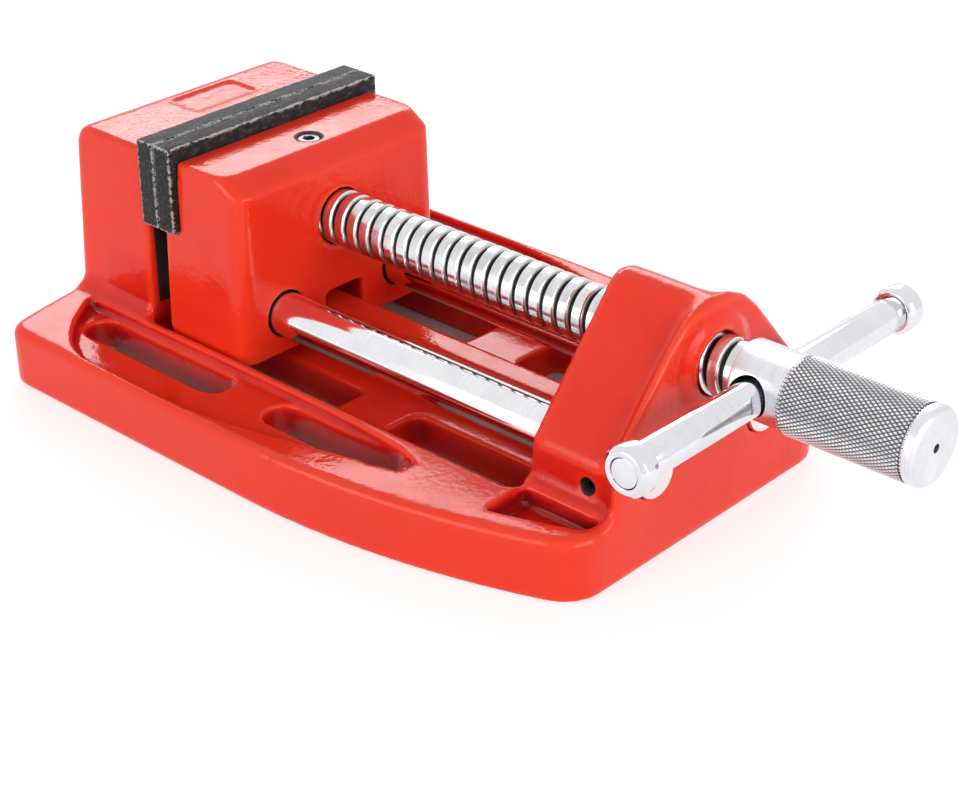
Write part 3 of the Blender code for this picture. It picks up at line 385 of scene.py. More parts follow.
# The milled face under the fixed plate and rings round the set screws' holes are painted near black as shade.
milled_face_in_shade = (
    (plate_low.x - MILLED_SKIN, plate_low.y + MILLED_FROM_SIDE, BED_TOP),
    (plate_low.x + MILLED_SKIN, plate_high.y - MILLED_FROM_SIDE, plate_low.z),
)
show(
    "base_casting_enamelled", cast_skin("base_casting", CAST_VOXEL, CAST_SMOOTHING, CAST_FACES),
    enamelled(
        "orange_red_enamel_bed",
        [(set_screw, ALONG_Y, (set_screw_high.z - set_screw_low.z) / 2 + BORE_SHADE_RING)],
        [milled_face_in_shade],
    ),
    "base", ["base_casting"], CAST_SMOOTH_BELOW,
)

# Moving jaw: a second iron casting in the same enamel, bored for the rods and the screw's
# nose, with a chamfered top and a ledge that carries its plate.
GRUB_MOUTH_SHADE_RING = 0.0014
JAW_VOXEL = CAST_VOXEL * 0.8
JAW_SMOOTHING = CAST_SMOOTHING - 1
JAW_FACES = CAST_FACES / 2
grub_middle, grub_low, grub_high = middle_of("screw_retaining_screw")
# Rings round the rod bores and the grub screw's mouth are painted near black as shade.
rod_bores = []
for hand in ("left", "right"):
    middle, low, high = middle_of(f"guide_rod_{hand}")
    rod_bores.append((middle, ALONG_X, (high.z - low.z) / 2 + BORE_SHADE_RING))
show(
    "moving_jaw_enamelled", cast_skin("moving_jaw", JAW_VOXEL, JAW_SMOOTHING, JAW_FACES),
    enamelled(
        "orange_red_enamel_jaw",
        rod_bores + [(grub_middle, ALONG_Z, (grub_high.y - grub_low.y) / 2 + GRUB_MOUTH_SHADE_RING)],
    ),
    "jaw", ["moving_jaw"], CAST_SMOOTH_BELOW,
)

# Jaw plates: two bars of hardened, blackened steel, milled with a waffle of small pyramids on
# the gripping faces and counterbored for two screws each, with their edges rubbed bright.
SERRATION_PITCH = 0.0020
SERRATION_DEPTH = 0.0005
SERRATION_FLANK = 0.00032
PLATE_ROUND = 0.0005
PLATE_RUB_WIDTH = 0.0013
COUNTERBORE_RADIUS = 0.0053
COUNTERBORE_DEPTH = 0.0057
SCREW_HOLE_RADIUS = 0.0030
PLATE_BLACK = (0.004, 0.004, 0.005, 1.0)
PLATE_GREY = (0.022, 0.021, 0.023, 1.0)
PLATE_RUBBED = (0.50, 0.49, 0.48, 1.0)
PLATE_GRAIN = 1400.0
PLATE_STREAKS = (800.0, 300.0, 600.0)
PLATE_RELIEF = 0.5
PLATE_RELIEF_DEPTH = 0.0003
PLATE_CORNER_ANGLE = 80.0
RIM_ANGLE = 25.0


def blackened_steel(name, low, high):
    """Blackened steel whose rubbed edges follow the box between two corners."""
    made, tree, shader = glossy(name, PLATE_GREY, 0.5, 0.5)
    where = node(tree, "ShaderNodeTexCoord").outputs["Object"]
    grain = mottled(tree, where, PLATE_GRAIN, 4.0, 0.7)
    drawn = node(tree, "ShaderNodeMapping", in_Vector=where, in_Scale=PLATE_STREAKS)
    streaks = mottled(tree, drawn.outputs[0], 1.0, 5.0, 0.72)
    ragged = graded(tree, streaks, 0.40, 0.56, PLATE_RUB_WIDTH / 20, PLATE_RUB_WIDTH)
    share = reckoned(tree, "DIVIDE", box_depth(tree, low, high, "Second"), ragged)
    rubbed = graded(tree, share, 0.3, 1.0, 0.8, 0.0)
    scuffs = graded(tree, streaks, 0.50, 0.80, 0.0, 0.22)
    bright = reckoned(tree, "MAXIMUM", rubbed, scuffs)
    dark = blended(tree, grain, PLATE_BLACK, PLATE_GREY)
    tree.links.new(blended(tree, bright, dark, PLATE_RUBBED), shader.inputs["Base Color"])
    tree.links.new(graded(tree, grain, 0.3, 0.7, 0.48, 0.75), shader.inputs["Roughness"])
    embossed(tree, shader, reckoned(tree, "ADD", grain, streaks), PLATE_RELIEF, PLATE_RELIEF_DEPTH)
    return made


def bm_mesh(bm, name):
    """Turn a bmesh into a mesh with its faces outward and free it."""
    bmesh.ops.recalc_face_normals(bm, faces=bm.faces)
    mesh = bpy.data.meshes.new(name)
    bm.to_mesh(mesh)
    bm.free()
    return mesh


def spun(profile, steps, axis, at, rounding_width=0.0, rounding_steps=2):
    """A closed solid turned from (distance, radius) pairs, with its sharp rims rounded."""
    bm = bmesh.new()
    points = [bm.verts.new((radius, 0.0, distance)) for distance, radius in profile]
    edges = [bm.edges.new(pair) for pair in zip(points, points[1:])]
    bmesh.ops.spin(
        bm, geom=points + edges, cent=(0.0, 0.0, 0.0), axis=(0.0, 0.0, 1.0), dvec=(0.0, 0.0, 0.0),
        angle=2.0 * math.pi, steps=steps, use_merge=True, use_duplicate=False,
    )
    bmesh.ops.remove_doubles(bm, verts=bm.verts, dist=1e-6)
    bmesh.ops.recalc_face_normals(bm, faces=bm.faces)
    if rounding_width:
        rims = [edge for edge in bm.edges if edge.calc_face_angle(0.0) > math.radians(RIM_ANGLE)]
        bmesh.ops.bevel(
            bm, geom=rims, offset=rounding_width, segments=rounding_steps, profile=0.5,
            affect="EDGES", material=-1,
        )
    lay = {
        "X": Matrix.Rotation(math.pi / 2, 4, "Y"),
        "Y": Matrix.Rotation(-math.pi / 2, 4, "X"),
        "Z": Matrix(),
    }
    bmesh.ops.transform(bm, verts=bm.verts, matrix=Matrix.Translation(at) @ lay[axis])
    return bm_mesh(bm, "spun")


def without(mesh, *cutters):
    """The mesh with each cutter's volume taken away."""
    for cutter in cutters:
        tool = bpy.data.objects.new("cutter", cutter)
        bpy.context.scene.collection.objects.link(tool)
        cut = {"object": tool, "operation": "DIFFERENCE", "solver": "EXACT"}
        mesh = with_modifiers(mesh, ("BOOLEAN", cut))
        bpy.data.objects.remove(tool)
    return mesh


def waffle_plate(name, side, body):
    """One jaw plate with the waffle on the face that looks towards the other plate."""
    low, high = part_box(name)
    grip = high[0] if side < 0 else low[0]
    back = low[0] if side < 0 else high[0]
    size = Vector(high) - Vector(low)
    middle = (Vector(high) + Vector(low)) / 2
    across = round(size.y / SERRATION_PITCH)
    upright = round(size.z / SERRATION_PITCH)
    bm = bmesh.new()
    bmesh.ops.create_grid(bm, x_segments=across, y_segments=upright, size=0.5)
    bmesh.ops.scale(bm, verts=bm.verts, vec=(size.y, size.z, 1.0))
    bmesh.ops.inset_individual(
        bm, faces=bm.faces[:], thickness=SERRATION_FLANK, depth=0.0, use_even_offset=True,
    )
    rim = [edge for edge in bm.edges if edge.is_boundary]
    for vert in bm.verts:
        on_top = len(vert.link_edges) == 3 and not vert.is_boundary
        depth = 0.0 if on_top else SERRATION_DEPTH
        vert.co = (grip + side * depth, middle.y + vert.co.x, middle.z + vert.co.y)
    pulled = bmesh.ops.extrude_edge_only(bm, edges=rim)["geom"]
    moved = [item for item in pulled if isinstance(item, bmesh.types.BMVert)]
    for vert in moved:
        vert.co.x = back
    bmesh.ops.holes_fill(bm, edges=[edge for edge in bm.edges if edge.is_boundary], sides=0)
    bmesh.ops.recalc_face_normals(bm, faces=bm.faces)
    box_edges = [
        edge for edge in bm.edges
        if edge.calc_face_angle(0.0) > math.radians(PLATE_CORNER_ANGLE)
        and max(abs(vert.co.x - grip) for vert in edge.verts) > size.x / 2
    ]
    bmesh.ops.bevel(
        bm, geom=box_edges, offset=PLATE_ROUND, segments=2, profile=0.5, affect="EDGES", material=-1,
    )
    mesh = bm_mesh(bm, name)
    holes = []
    mouth = grip - side * COUNTERBORE_DEPTH
    step = grip + side * COUNTERBORE_DEPTH
    beyond = back + side * COUNTERBORE_DEPTH
    for screw in [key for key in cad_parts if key.startswith(name.split("_")[0] + "_plate_screw")]:
        centre = middle_of(screw)[0]
        holes.append(spun(
            [(mouth, 0.0), (mouth, COUNTERBORE_RADIUS), (step, COUNTERBORE_RADIUS),
             (step, SCREW_HOLE_RADIUS), (beyond, SCREW_HOLE_RADIUS), (beyond, 0.0)],
            48, "X", (0.0, centre.y, centre.z),
        ))
    finish = blackened_steel(name + "_blackened", low, high)
    show(name + "_waffled", without(mesh, *holes), finish, body, [name])


waffle_plate("fixed_jaw_plate", -1, "base")
waffle_plate("moving_jaw_plate", 1, "jaw")

# Plate screws: four black socket head cap screws sunk in the counterbores, their rims and the
# hexagon's corners rubbed grey by the key.
SOCKET_RADIUS = 0.0024
SOCKET_DEPTH = 0.0025
HEAD_RADIUS = 0.0050
HEAD_HEIGHT = 0.0048
SHANK_RADIUS = 0.0027
HEAD_ROUND = 0.0004
OXIDE_BLACK = (0.022, 0.022, 0.026, 1.0)
OXIDE_RUBBED = (0.20, 0.20, 0.21, 1.0)

black_screw, tree, shader = glossy("black_oxide_rubbed", OXIDE_BLACK, 0.38, 0.7)
oxide = mottled(tree, node(tree, "ShaderNodeTexCoord").outputs["Object"], 700.0, 4.0, 0.6)
worn = graded(tree, oxide, 0.50, 0.72, 0.0, 0.6)
tree.links.new(blended(tree, worn, OXIDE_BLACK, OXIDE_RUBBED), shader.inputs["Base Color"])
tree.links.new(graded(tree, oxide, 0.3, 0.7, 0.26, 0.50), shader.inputs["Roughness"])

for jaw, side, body in (("fixed", -1, "base"), ("moving", 1, "jaw")):
    for hand in ("left", "right"):
        name = f"{jaw}_plate_screw_{hand}"
        middle, low, high = middle_of(name)
        face = high.x if side < 0 else low.x
        tip = low.x if side < 0 else high.x
        shoulder = face + side * HEAD_HEIGHT
        body_mesh = spun(
            [(face, 0.0), (face, HEAD_RADIUS), (shoulder, HEAD_RADIUS), (shoulder, SHANK_RADIUS),
             (tip, SHANK_RADIUS), (tip, 0.0)],
            48, "X", (0.0, middle.y, middle.z), HEAD_ROUND,
        )
        socket = spun(
            [(face - side * HEAD_HEIGHT, 0.0), (face - side * HEAD_HEIGHT, SOCKET_RADIUS),
             (face + side * SOCKET_DEPTH, SOCKET_RADIUS), (face + side * SOCKET_DEPTH, 0.0)],
            6, "X", (0.0, middle.y, middle.z),
        )
        show(name + "_rubbed", without(body_mesh, socket), black_screw, body, [name])

# Guide rods: two ground and polished steel bars pressed into the fixed jaw's casting and held
# in the front block, with a rounded end that stands a little proud of the block.
ROD_END_ROUND = 0.0016
TOOL_LINE_DEPTH = 0.00005

turned_grain, given, told = new_group(
    "turned_grain",
    [("Where", "NodeSocketVector", (0.0, 0.0, 0.0)), ("Light", "NodeSocketColor", (0.75, 0.75, 0.76, 1.0)),
     ("Dark", "NodeSocketColor", (0.45, 0.45, 0.46, 1.0)), ("Smooth", "NodeSocketFloat", 0.10),
     ("Rough", "NodeSocketFloat", 0.22)],
    [("Colour", "NodeSocketColor"), ("Roughness", "NodeSocketFloat"), ("Height", "NodeSocketFloat")],
)
link = turned_grain.links.new
lines = mottled(turned_grain, given.outputs["Where"], 1.0, 3.0, 0.6)
smears = mottled(turned_grain, node(turned_grain, "ShaderNodeTexCoord").outputs["Object"], 90.0, 3.0, 0.55)
lines_part = graded(turned_grain, lines, 0.30, 0.70, 0.0, 0.5)
smears_part = graded(turned_grain, smears, 0.40, 0.70, 0.0, 0.5)
together = reckoned(turned_grain, "ADD", lines_part, smears_part)
shade = blended(turned_grain, together, given.outputs["Light"], given.outputs["Dark"])
polish = graded(turned_grain, together, 0.0, 1.0, given.outputs["Smooth"], given.outputs["Rough"])
link(shade, told.inputs["Colour"])
link(polish, told.inputs["Roughness"])
link(lines, told.inputs["Height"])


def turned_metal(name, stretch, light, dark, smooth, rough, relief=0.10):
    """Bright metal with fine tool lines; stretch gives how quickly they change along each axis."""
    made, tree, shader = glossy(name, light, smooth, 1.0)
    where = node(tree, "ShaderNodeTexCoord").outputs["Object"]
    laid = node(tree, "ShaderNodeMapping", in_Vector=where, in_Scale=stretch)
    grain = node(
        tree, "ShaderNodeGroup", node_tree=turned_grain, in_Where=laid.outputs["Vector"],
        in_Light=light, in_Dark=dark, in_Smooth=smooth, in_Rough=rough,
    )
    tree.links.new(grain.outputs["Colour"], shader.inputs["Base Color"])
    tree.links.new(grain.outputs["Roughness"], shader.inputs["Roughness"])
    embossed(tree, shader, grain.outputs["Height"], relief, TOOL_LINE_DEPTH)
    return made, tree, shader, grain


ground_rod = turned_metal(
    "ground_rod_polish", (2600.0, 60.0, 60.0), (0.88, 0.88, 0.90, 1.0), (0.74, 0.74, 0.77, 1.0),
    0.06, 0.13,
)[0]
for hand in ("left", "right"):
    name = f"guide_rod_{hand}"
    middle, low, high = middle_of(name)
    radius = (high.z - low.z) / 2
    rod = spun(
        [(low.x, 0.0), (low.x, radius), (high.x, radius), (high.x, 0.0)],
        96, "X", (0.0, middle.y, middle.z), ROD_END_ROUND, 5,
    )
    show(name + "_ground", rod, ground_rod, "base", [name])

# Rod set screws: one black socket set screw in each side of the front block, below the rod's
# middle, turned in flush so that only its hexagon shows at the bottom of its hole.
SET_SCREW_SOCKET = 0.0013
SET_SCREW_ROUND = 0.0003
for hand, side in (("right", -1), ("left", 1)):
    name = f"rod_set_screw_{hand}"
    middle, low, high = middle_of(name)
    radius = (high.z - low.z) / 2
    tip = high.y if side < 0 else low.y
    head = low.y if side < 0 else high.y
    screw = spun(
        [(tip, 0.0), (tip, radius), (head, radius), (head, 0.0)],
        40, "Y", (middle.x, 0.0, middle.z), SET_SCREW_ROUND,
    )
    socket = spun(
        [(middle.y, 0.0), (middle.y, SET_SCREW_SOCKET), (head + side * radius, SET_SCREW_SOCKET),
         (head + side * radius, 0.0)],
        6, "Y", (middle.x, 0.0, middle.z),
    )
    show(name + "_rubbed", without(screw, socket), black_screw, "base", [name])

# Lead screw: a bright steel spindle with a rolled trapezoidal thread, whose groove is darkened
# to near black as painted shade, and a plain nose that the moving jaw holds.
THREAD_RADIUS = 0.0100
THREAD_DEPTH = 0.0015
THREAD_PITCH = 0.0060
THREAD_CREST = 0.0036
THREAD_ROOT = 0.0012
THREAD_EASE = 0.00018
THREAD_STEPS = 44
NOSE_RADIUS = 0.0076
NOSE_LENGTH = 0.0212
NOSE_ROUND = 0.0004
NOSE_SMOOTH_BELOW = 40.0
GROOVE_RADIUS = 0.0060
GROOVE_START = 0.0069
GROOVE_WIDTH = 0.0052
GRIP_LENGTH = 0.0475
HUB_LENGTH = 0.0182
GROOVE_SHADE = (0.030, 0.026, 0.026, 1.0)
GROOVE_ROUGHNESS = 0.45
GROOVE_SHADE_SHARE = 0.75

screw_middle, screw_low, screw_high = middle_of("lead_screw")
axis_z = screw_middle.z
thread_start = screw_low.x + NOSE_LENGTH
hub_end = screw_high.x - GRIP_LENGTH
hub_start = hub_end - HUB_LENGTH


def shaded_grooves(finish, low, high, shade_colour):
    """Darken as painted shade and dull a turned metal near the lead screw's axis, fully at radius low and not
    past high.
    """
    made, tree, shader, grain = finish
    deep = around_axis(tree, (0.0, 0.0, axis_z), ALONG_X, low, high)
    tree.links.new(blended(tree, deep, grain.outputs["Colour"], shade_colour), shader.inputs["Base Color"])
    roughness = weighed(tree, deep, grain.outputs["Roughness"], GROOVE_ROUGHNESS)
    tree.links.new(roughness, shader.inputs["Roughness"])
    return made


thread_steel = turned_metal(
    "rolled_thread_steel", (500.0, 160.0, 160.0), (0.82, 0.82, 0.83, 1.0), (0.50, 0.50, 0.51, 1.0),
    0.10, 0.28,
)
# The thread's groove is darkened to near black as painted shade; the nose, thinner than the groove's root,
# goes near black all over with it.
thread_steel = shaded_grooves(
    thread_steel, THREAD_RADIUS - THREAD_DEPTH, THREAD_RADIUS - THREAD_DEPTH * (1.0 - GROOVE_SHADE_SHARE),
    GROOVE_SHADE,
)
flank = (THREAD_PITCH - THREAD_CREST - THREAD_ROOT) / 2
root = THREAD_RADIUS - THREAD_DEPTH
profile = [
    (0.0, root), (THREAD_ROOT, root), (THREAD_ROOT + flank - THREAD_EASE, THREAD_RADIUS - 2 * THREAD_EASE),
    (THREAD_ROOT + flank + THREAD_EASE, THREAD_RADIUS), (THREAD_PITCH - flank - THREAD_EASE, THREAD_RADIUS),
    (THREAD_PITCH - flank + THREAD_EASE, THREAD_RADIUS - 2 * THREAD_EASE), (THREAD_PITCH, root),
]
turns = math.ceil((hub_start - thread_start) / THREAD_PITCH) + 2
bm = bmesh.new()
points = [bm.verts.new((distance, 0.0, radius)) for distance, radius in profile]
edges = [bm.edges.new(pair) for pair in zip(points, points[1:])]
bmesh.ops.spin(
    bm, geom=points + edges, cent=(0.0, 0.0, 0.0), axis=(1.0, 0.0, 0.0),
    dvec=(THREAD_PITCH / THREAD_STEPS, 0.0, 0.0), angle=2.0 * math.pi * turns, steps=THREAD_STEPS * turns,
    use_merge=False, use_duplicate=False,
)
bmesh.ops.remove_doubles(bm, verts=bm.verts, dist=1e-5)
bmesh.ops.translate(bm, verts=bm.verts, vec=(thread_start - 1.5 * THREAD_PITCH, 0.0, axis_z))
for plane, outward in ((thread_start, -1.0), (hub_start + THREAD_EASE, 1.0)):
    bmesh.ops.bisect_plane(
        bm, geom=bm.verts[:] + bm.edges[:] + bm.faces[:], dist=1e-7,
        plane_co=(plane, 0.0, 0.0), plane_no=(outward, 0.0, 0.0), clear_outer=True,
    )
bmesh.ops.holes_fill(bm, edges=[edge for edge in bm.edges if edge.is_boundary], sides=0)
show(
    "lead_screw_thread", bm_mesh(bm, "lead_screw_thread"), thread_steel, "screw",
    ["lead_screw"],
)
nose = spun(
    [(0.0, 0.0), (0.0, NOSE_RADIUS), (GROOVE_START, NOSE_RADIUS), (GROOVE_START, GROOVE_RADIUS),
     (GROOVE_START + GROOVE_WIDTH, GROOVE_RADIUS), (GROOVE_START + GROOVE_WIDTH, NOSE_RADIUS),
     (NOSE_LENGTH - THREAD_EASE, NOSE_RADIUS), (NOSE_LENGTH - THREAD_EASE, 0.0)],
    48, "X", (screw_low.x, 0.0, axis_z), NOSE_ROUND,
)
show("lead_screw_nose", nose, thread_steel, "screw", (), NOSE_SMOOTH_BELOW)

# Hub and grip: the spindle's thick end, turned bright, cross-drilled for the tommy bar, then
# rolled with a diamond knurl up to a plain chamfered ring and a flat end with a centre hole.
HUB_RADIUS = 0.0122
GRIP_RADIUS = 0.0129
GRIP_RING = 0.0040
GRIP_CHAMFER = 0.0012
KNURL_DEPTH = 0.00050
KNURL_ROUND = 56
KNURL_LONG = 18
KNURL_RUN_OUT = 0.0007
KNURL_SMOOTH_BELOW = 5.0
KNURL_VALLEY_SHADE = (0.022, 0.020, 0.020, 1.0)
KNURL_UNSHADED_SHARE = 0.42
CENTRE_SHADE_SHARE = 1.15
HOLE_SHADE = (0.03, 0.03, 0.03, 1.0)
SLIGHTLY_BELOW = 0.0001
HANDLE_ROUND = 0.0002
BAR_HOLE_ROUND = 0.0003
BAR_HOLE_ANGLE = 50.0
CENTRE_RADIUS = 0.0014
CENTRE_DEPTH = 0.0016
BAR_HOLE_RADIUS = 0.0068

hub_steel = turned_metal(
    "turned_hub_steel", (1800.0, 70.0, 70.0), (0.82, 0.82, 0.86, 1.0), (0.66, 0.66, 0.70, 1.0),
    0.20, 0.32, 0.25,
)
# The centre hole is painted dark as shade.
hub_steel = shaded_grooves(hub_steel, CENTRE_RADIUS, CENTRE_RADIUS * CENTRE_SHADE_SHARE, HOLE_SHADE)
ring_start = screw_high.x - GRIP_RING
core_radius = GRIP_RADIUS - KNURL_DEPTH - SLIGHTLY_BELOW
ring_radius = GRIP_RADIUS - SLIGHTLY_BELOW
handle = spun(
    [(hub_start, 0.0), (hub_start, HUB_RADIUS), (hub_end, HUB_RADIUS), (hub_end, core_radius),
     (ring_start, core_radius), (ring_start, ring_radius), (screw_high.x - GRIP_CHAMFER, ring_radius),
     (screw_high.x, GRIP_RADIUS - GRIP_CHAMFER), (screw_high.x, CENTRE_RADIUS),
     (screw_high.x - CENTRE_DEPTH, 0.0)],
    96, "X", (0.0, 0.0, axis_z), HANDLE_ROUND,
)
bar_middle, bar_low, bar_high = middle_of("tommy_bar")
bar_hole = spun(
    [(-GRIP_RADIUS * 2, 0.0), (-GRIP_RADIUS * 2, BAR_HOLE_RADIUS), (GRIP_RADIUS * 2, BAR_HOLE_RADIUS),
     (GRIP_RADIUS * 2, 0.0)],
    64, "Y", (bar_middle.x, 0.0, axis_z),
)
eased = {
    "limit_method": "ANGLE", "angle_limit": math.radians(BAR_HOLE_ANGLE),
    "width": BAR_HOLE_ROUND, "segments": 2,
}
handle = with_modifiers(without(handle, bar_hole), ("BEVEL", eased))
show("lead_screw_handle", handle, hub_steel, "screw")

knurl_steel = turned_metal(
    "knurled_steel", (300.0, 300.0, 300.0), (0.82, 0.82, 0.84, 1.0), (0.64, 0.64, 0.67, 1.0), 0.22, 0.34,
)
# The knurl's valleys are darkened as painted shade.
knurl_steel = shaded_grooves(
    knurl_steel, GRIP_RADIUS - KNURL_DEPTH, GRIP_RADIUS - KNURL_DEPTH * KNURL_UNSHADED_SHARE, KNURL_VALLEY_SHADE,
)
around = 2.0 * math.pi * GRIP_RADIUS
length = ring_start - hub_end
cells = 2 * (KNURL_ROUND // 2 + KNURL_LONG // 2)
bm = bmesh.new()
bmesh.ops.create_grid(bm, x_segments=cells, y_segments=cells, size=cells / 2)
to_diamonds = (
    Matrix.Diagonal((around / KNURL_ROUND / math.sqrt(2.0), length / KNURL_LONG / math.sqrt(2.0), 1.0, 1.0))
    @ Matrix.Rotation(math.pi / 4, 4, "Z")
)
bmesh.ops.transform(bm, verts=bm.verts, matrix=to_diamonds)
outside = [
    face for face in bm.faces
    if abs(face.calc_center_median().x) > around / 2 + 1e-5
    or abs(face.calc_center_median().y) > length / 2 + 1e-5
]
bmesh.ops.delete(bm, geom=outside, context="FACES")
bmesh.ops.poke(bm, faces=bm.faces[:], offset=KNURL_DEPTH)
for axis in (0, 1):
    for sign in (-1.0, 1.0):
        plane = Vector((0.0, 0.0, 0.0))
        plane[axis] = sign * (around, length)[axis] / 2
        outward = Vector((0.0, 0.0, 0.0))
        outward[axis] = sign
        bmesh.ops.bisect_plane(
            bm, geom=bm.verts[:] + bm.edges[:] + bm.faces[:], dist=1e-7,
            plane_co=plane, plane_no=outward, clear_outer=True,
        )
for vert in bm.verts:
    angle = vert.co.x / around * 2.0 * math.pi
    radius = GRIP_RADIUS - KNURL_DEPTH + abs(vert.co.z)
    near_end = max(0.0, 1.0 - (length / 2 - abs(vert.co.y)) / KNURL_RUN_OUT)
    radius -= near_end * KNURL_DEPTH
    vert.co = (hub_end + length / 2 + vert.co.y, radius * math.sin(angle), axis_z + radius * math.cos(angle))
bmesh.ops.remove_doubles(bm, verts=bm.verts, dist=1e-6)
bmesh.ops.recalc_face_normals(bm, faces=bm.faces)
show(
    "lead_screw_knurl", bm_mesh(bm, "lead_screw_knurl"), knurl_steel, "screw",
    (), KNURL_SMOOTH_BELOW,
)

# Grub screw: a short socket screw down through the top of the moving jaw, whose point runs in
# the nose's groove; its bright rim shows in the mouth of its hole, which the jaw's enamel
# paints near black as shade.
DOG_RADIUS = 0.0020
DOG_LENGTH = 0.0040
GRUB_ROUND = 0.0004

grub_steel = turned_metal(
    "grub_screw_steel", (300.0, 300.0, 900.0), (0.26, 0.26, 0.28, 1.0), (0.14, 0.14, 0.15, 1.0), 0.30, 0.46,
)[0]
middle, low, high = middle_of("screw_retaining_screw")
radius = (high.y - low.y) / 2
grub = spun(
    [(low.z, 0.0), (low.z, DOG_RADIUS), (low.z + DOG_LENGTH, DOG_RADIUS), (low.z + DOG_LENGTH, radius),
     (high.z, radius), (high.z, 0.0)],
    56, "Z", (middle.x, middle.y, 0.0), GRUB_ROUND,
)
socket = spun(
    [(high.z - SOCKET_DEPTH, 0.0), (high.z - SOCKET_DEPTH, SOCKET_RADIUS), (high.z + radius, SOCKET_RADIUS),
     (high.z + radius, 0.0)],
    6, "Z", (middle.x, middle.y, 0.0),
)
show(
    "screw_retaining_screw_turned", without(grub, socket), grub_steel, "jaw",
    ["screw_retaining_screw"],
)

# Tommy bar: a chromed bar that slides through the hub, with a collar riveted on each end; the
# rivet's head shows as a ring in the middle of the collar's face.
CAP_CHAMFER = 0.0014
CAP_ROUND = 0.00025
TENON_RADIUS = 0.0047
TENON_GAP = 0.0003
TENON_DOME = 0.0003
BAR_ROUND = 0.0002

chrome = turned_metal(
    "tommy_bar_bright_chrome", (60.0, 900.0, 60.0), (0.80, 0.80, 0.84, 1.0), (0.70, 0.70, 0.74, 1.0),
    0.05, 0.11, 0.04,
)[0]
near_low, near_high = middle_of("tommy_bar_cap_near")[1:]
far_low, far_high = middle_of("tommy_bar_cap_far")[1:]
bar_radius = (bar_high.z - bar_low.z) / 2
bar = spun(
    [(bar_low.y, 0.0), (bar_low.y + TENON_DOME, TENON_RADIUS), (near_high.y + TENON_DOME, TENON_RADIUS),
     (near_high.y + TENON_DOME, bar_radius), (far_low.y - TENON_DOME, bar_radius),
     (far_low.y - TENON_DOME, TENON_RADIUS), (bar_high.y - TENON_DOME, TENON_RADIUS), (bar_high.y, 0.0)],
    80, "Y", (bar_middle.x, 0.0, bar_middle.z), BAR_ROUND,
)
show("tommy_bar_chromed", bar, chrome, "bar", ["tommy_bar"])
for name, inner, outer in (
    ("tommy_bar_cap_near", near_high.y, near_low.y), ("tommy_bar_cap_far", far_low.y, far_high.y),
):
    middle, low, high = middle_of(name)
    radius = (high.z - low.z) / 2
    way = math.copysign(1.0, outer - inner)
    bore = TENON_RADIUS + TENON_GAP
    collar = spun(
        [(inner, bore), (inner, radius - CAP_CHAMFER), (inner + way * CAP_CHAMFER, radius),
         (outer - way * CAP_CHAMFER, radius), (outer, radius - CAP_CHAMFER), (outer, bore), (inner, bore)],
        80, "Y", (middle.x, 0.0, middle.z), CAP_ROUND,
    )
    show(name + "_chromed", collar, chrome, "bar", [name])

# Studio: three broad softboxes, and a pale paper floor and surroundings that look white to the
# camera and in the metal. Under the bed the floor isn't whitened, so the shadow there stays.
CAMERA_PLACE = (0.54425, -0.47407, 0.36678)
CAMERA_TURN = 42.52
CAMERA_DROP = 28.92
CAMERA_ROLL = -0.22
LENS = 78.73
FLOOR_SIZE = 60.0
FLOOR_MIDDLE = 0.08
FLOOR_GAP = 0.0002
BED_MARGIN = 0.030
BED_FADE_START = -0.001
BED_FADE_END = 0.004
BACKGROUND_LIFT = 0.60
PALE_PAPER = (0.60, 0.60, 0.60, 1.0)
WHITE = (1.0, 1.0, 1.0, 1.0)
HORIZON_LIGHT = 0.85
OVERHEAD_LIGHT = 0.25

turn = math.radians(CAMERA_TURN)
drop = math.radians(CAMERA_DROP)
forward = Vector((-math.sin(turn) * math.cos(drop), math.cos(turn) * math.cos(drop), -math.sin(drop)))
right = Vector((math.cos(turn), math.sin(turn), 0.0))
facing = Matrix((right, right.cross(forward), -forward)).transposed().to_4x4()
lens = bpy.data.cameras.new("photograph_camera")
lens.sensor_width = 36.0
lens.lens = LENS
lens.clip_start = 0.01
camera = bpy.data.objects.new("photograph_camera", lens)
roll = Matrix.Rotation(math.radians(CAMERA_ROLL), 4, "Z")
camera.matrix_world = Matrix.Translation(CAMERA_PLACE) @ facing @ roll
bpy.context.scene.collection.objects.link(camera)
bpy.context.scene.camera = camera


def seen_as_background(tree):
    """1 for the rays in which the camera, metal or glass shows the background, 0 for the rest."""
    rays = node(tree, "ShaderNodeLightPath").outputs
    mirrored = reckoned(tree, "MAXIMUM", rays["Is Glossy Ray"], rays["Is Transmission Ray"])
    return reckoned(tree, "MAXIMUM", rays["Is Camera Ray"], mirrored)


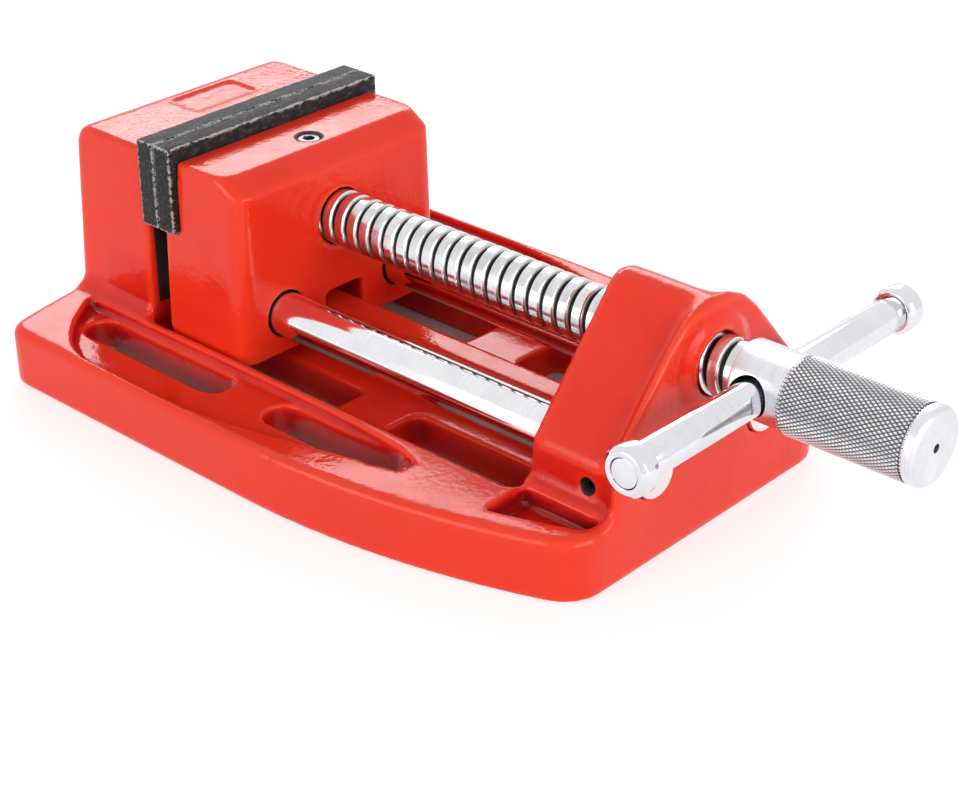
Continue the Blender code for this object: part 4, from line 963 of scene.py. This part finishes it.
bm = bmesh.new()
bmesh.ops.create_grid(bm, x_segments=1, y_segments=1, size=FLOOR_SIZE / 2)
bmesh.ops.translate(bm, verts=bm.verts, vec=(FLOOR_MIDDLE, 0.0, -FLOOR_GAP))
floor_mesh = bpy.data.meshes.new("studio_floor")
bm.to_mesh(floor_mesh)
bm.free()
floor = bpy.data.objects.new("studio_floor", floor_mesh)
bpy.context.scene.collection.objects.link(floor)
paper, tree, shader = glossy("pale_paper", PALE_PAPER, 0.9, 0.0, 0.2)
margin = Vector((BED_MARGIN, BED_MARGIN, -BED_MARGIN))
covered = box_depth(tree, base_low + margin, base_high - margin, "Nearest")
open_paper = graded(tree, covered, BED_FADE_START, BED_FADE_END, 1.0, 0.0)
whitened = reckoned(tree, "MULTIPLY", seen_as_background(tree), open_paper)
shader.inputs["Emission Color"].default_value = WHITE
lift = reckoned(tree, "MULTIPLY", whitened, BACKGROUND_LIFT)
tree.links.new(lift, shader.inputs["Emission Strength"])
from_below = node(
    tree, "ShaderNodeMixShader",
    in_Fac=node(tree, "ShaderNodeNewGeometry").outputs["Backfacing"],
    in_1=shader.outputs["BSDF"],
    in_2=node(tree, "ShaderNodeBsdfTransparent").outputs["BSDF"],
)
tree.links.new(from_below.outputs["Shader"], tree.nodes["Material Output"].inputs["Surface"])
floor_mesh.materials.append(paper)

world = bpy.data.worlds.new("white_surroundings")
bpy.context.scene.world = world
world.use_nodes = True
sky = world.node_tree
background = sky.nodes["Background"]
background.inputs["Color"].default_value = WHITE
direction = node(sky, "ShaderNodeTexCoord").outputs["Generated"]
upward = node(sky, "ShaderNodeSeparateXYZ", in_0=direction).outputs["Z"]
spread = graded(sky, upward, 0.0, 1.0, HORIZON_LIGHT, OVERHEAD_LIGHT)
level = weighed(sky, seen_as_background(sky), spread, 1.0)
sky.links.new(level, background.inputs["Strength"])


def soft_lamp(name, place, aim, width, height, power):
    """A rectangular softbox pointed at a place on the vise."""
    lamp = bpy.data.lights.new(name, "AREA")
    lamp.shape = "RECTANGLE"
    lamp.size = width
    lamp.size_y = height
    lamp.energy = power
    made = bpy.data.objects.new(name, lamp)
    made.location = place
    made.rotation_euler = (Vector(aim) - Vector(place)).to_track_quat("-Z", "Y").to_euler()
    bpy.context.scene.collection.objects.link(made)


soft_lamp("softbox_behind", (-0.85, 0.95, 0.80), (0.05, 0.0, 0.03), 1.2, 0.55, 9.0)
soft_lamp("softbox_handle_side", (1.55, -0.15, 0.50), (0.10, 0.0, 0.04), 1.3, 0.8, 11.0)
soft_lamp("softbox_near_side", (-0.25, -1.60, 0.50), (0.08, 0.0, 0.03), 1.4, 0.9, 11.0)
bpy.context.scene.view_settings.view_transform = "Standard"
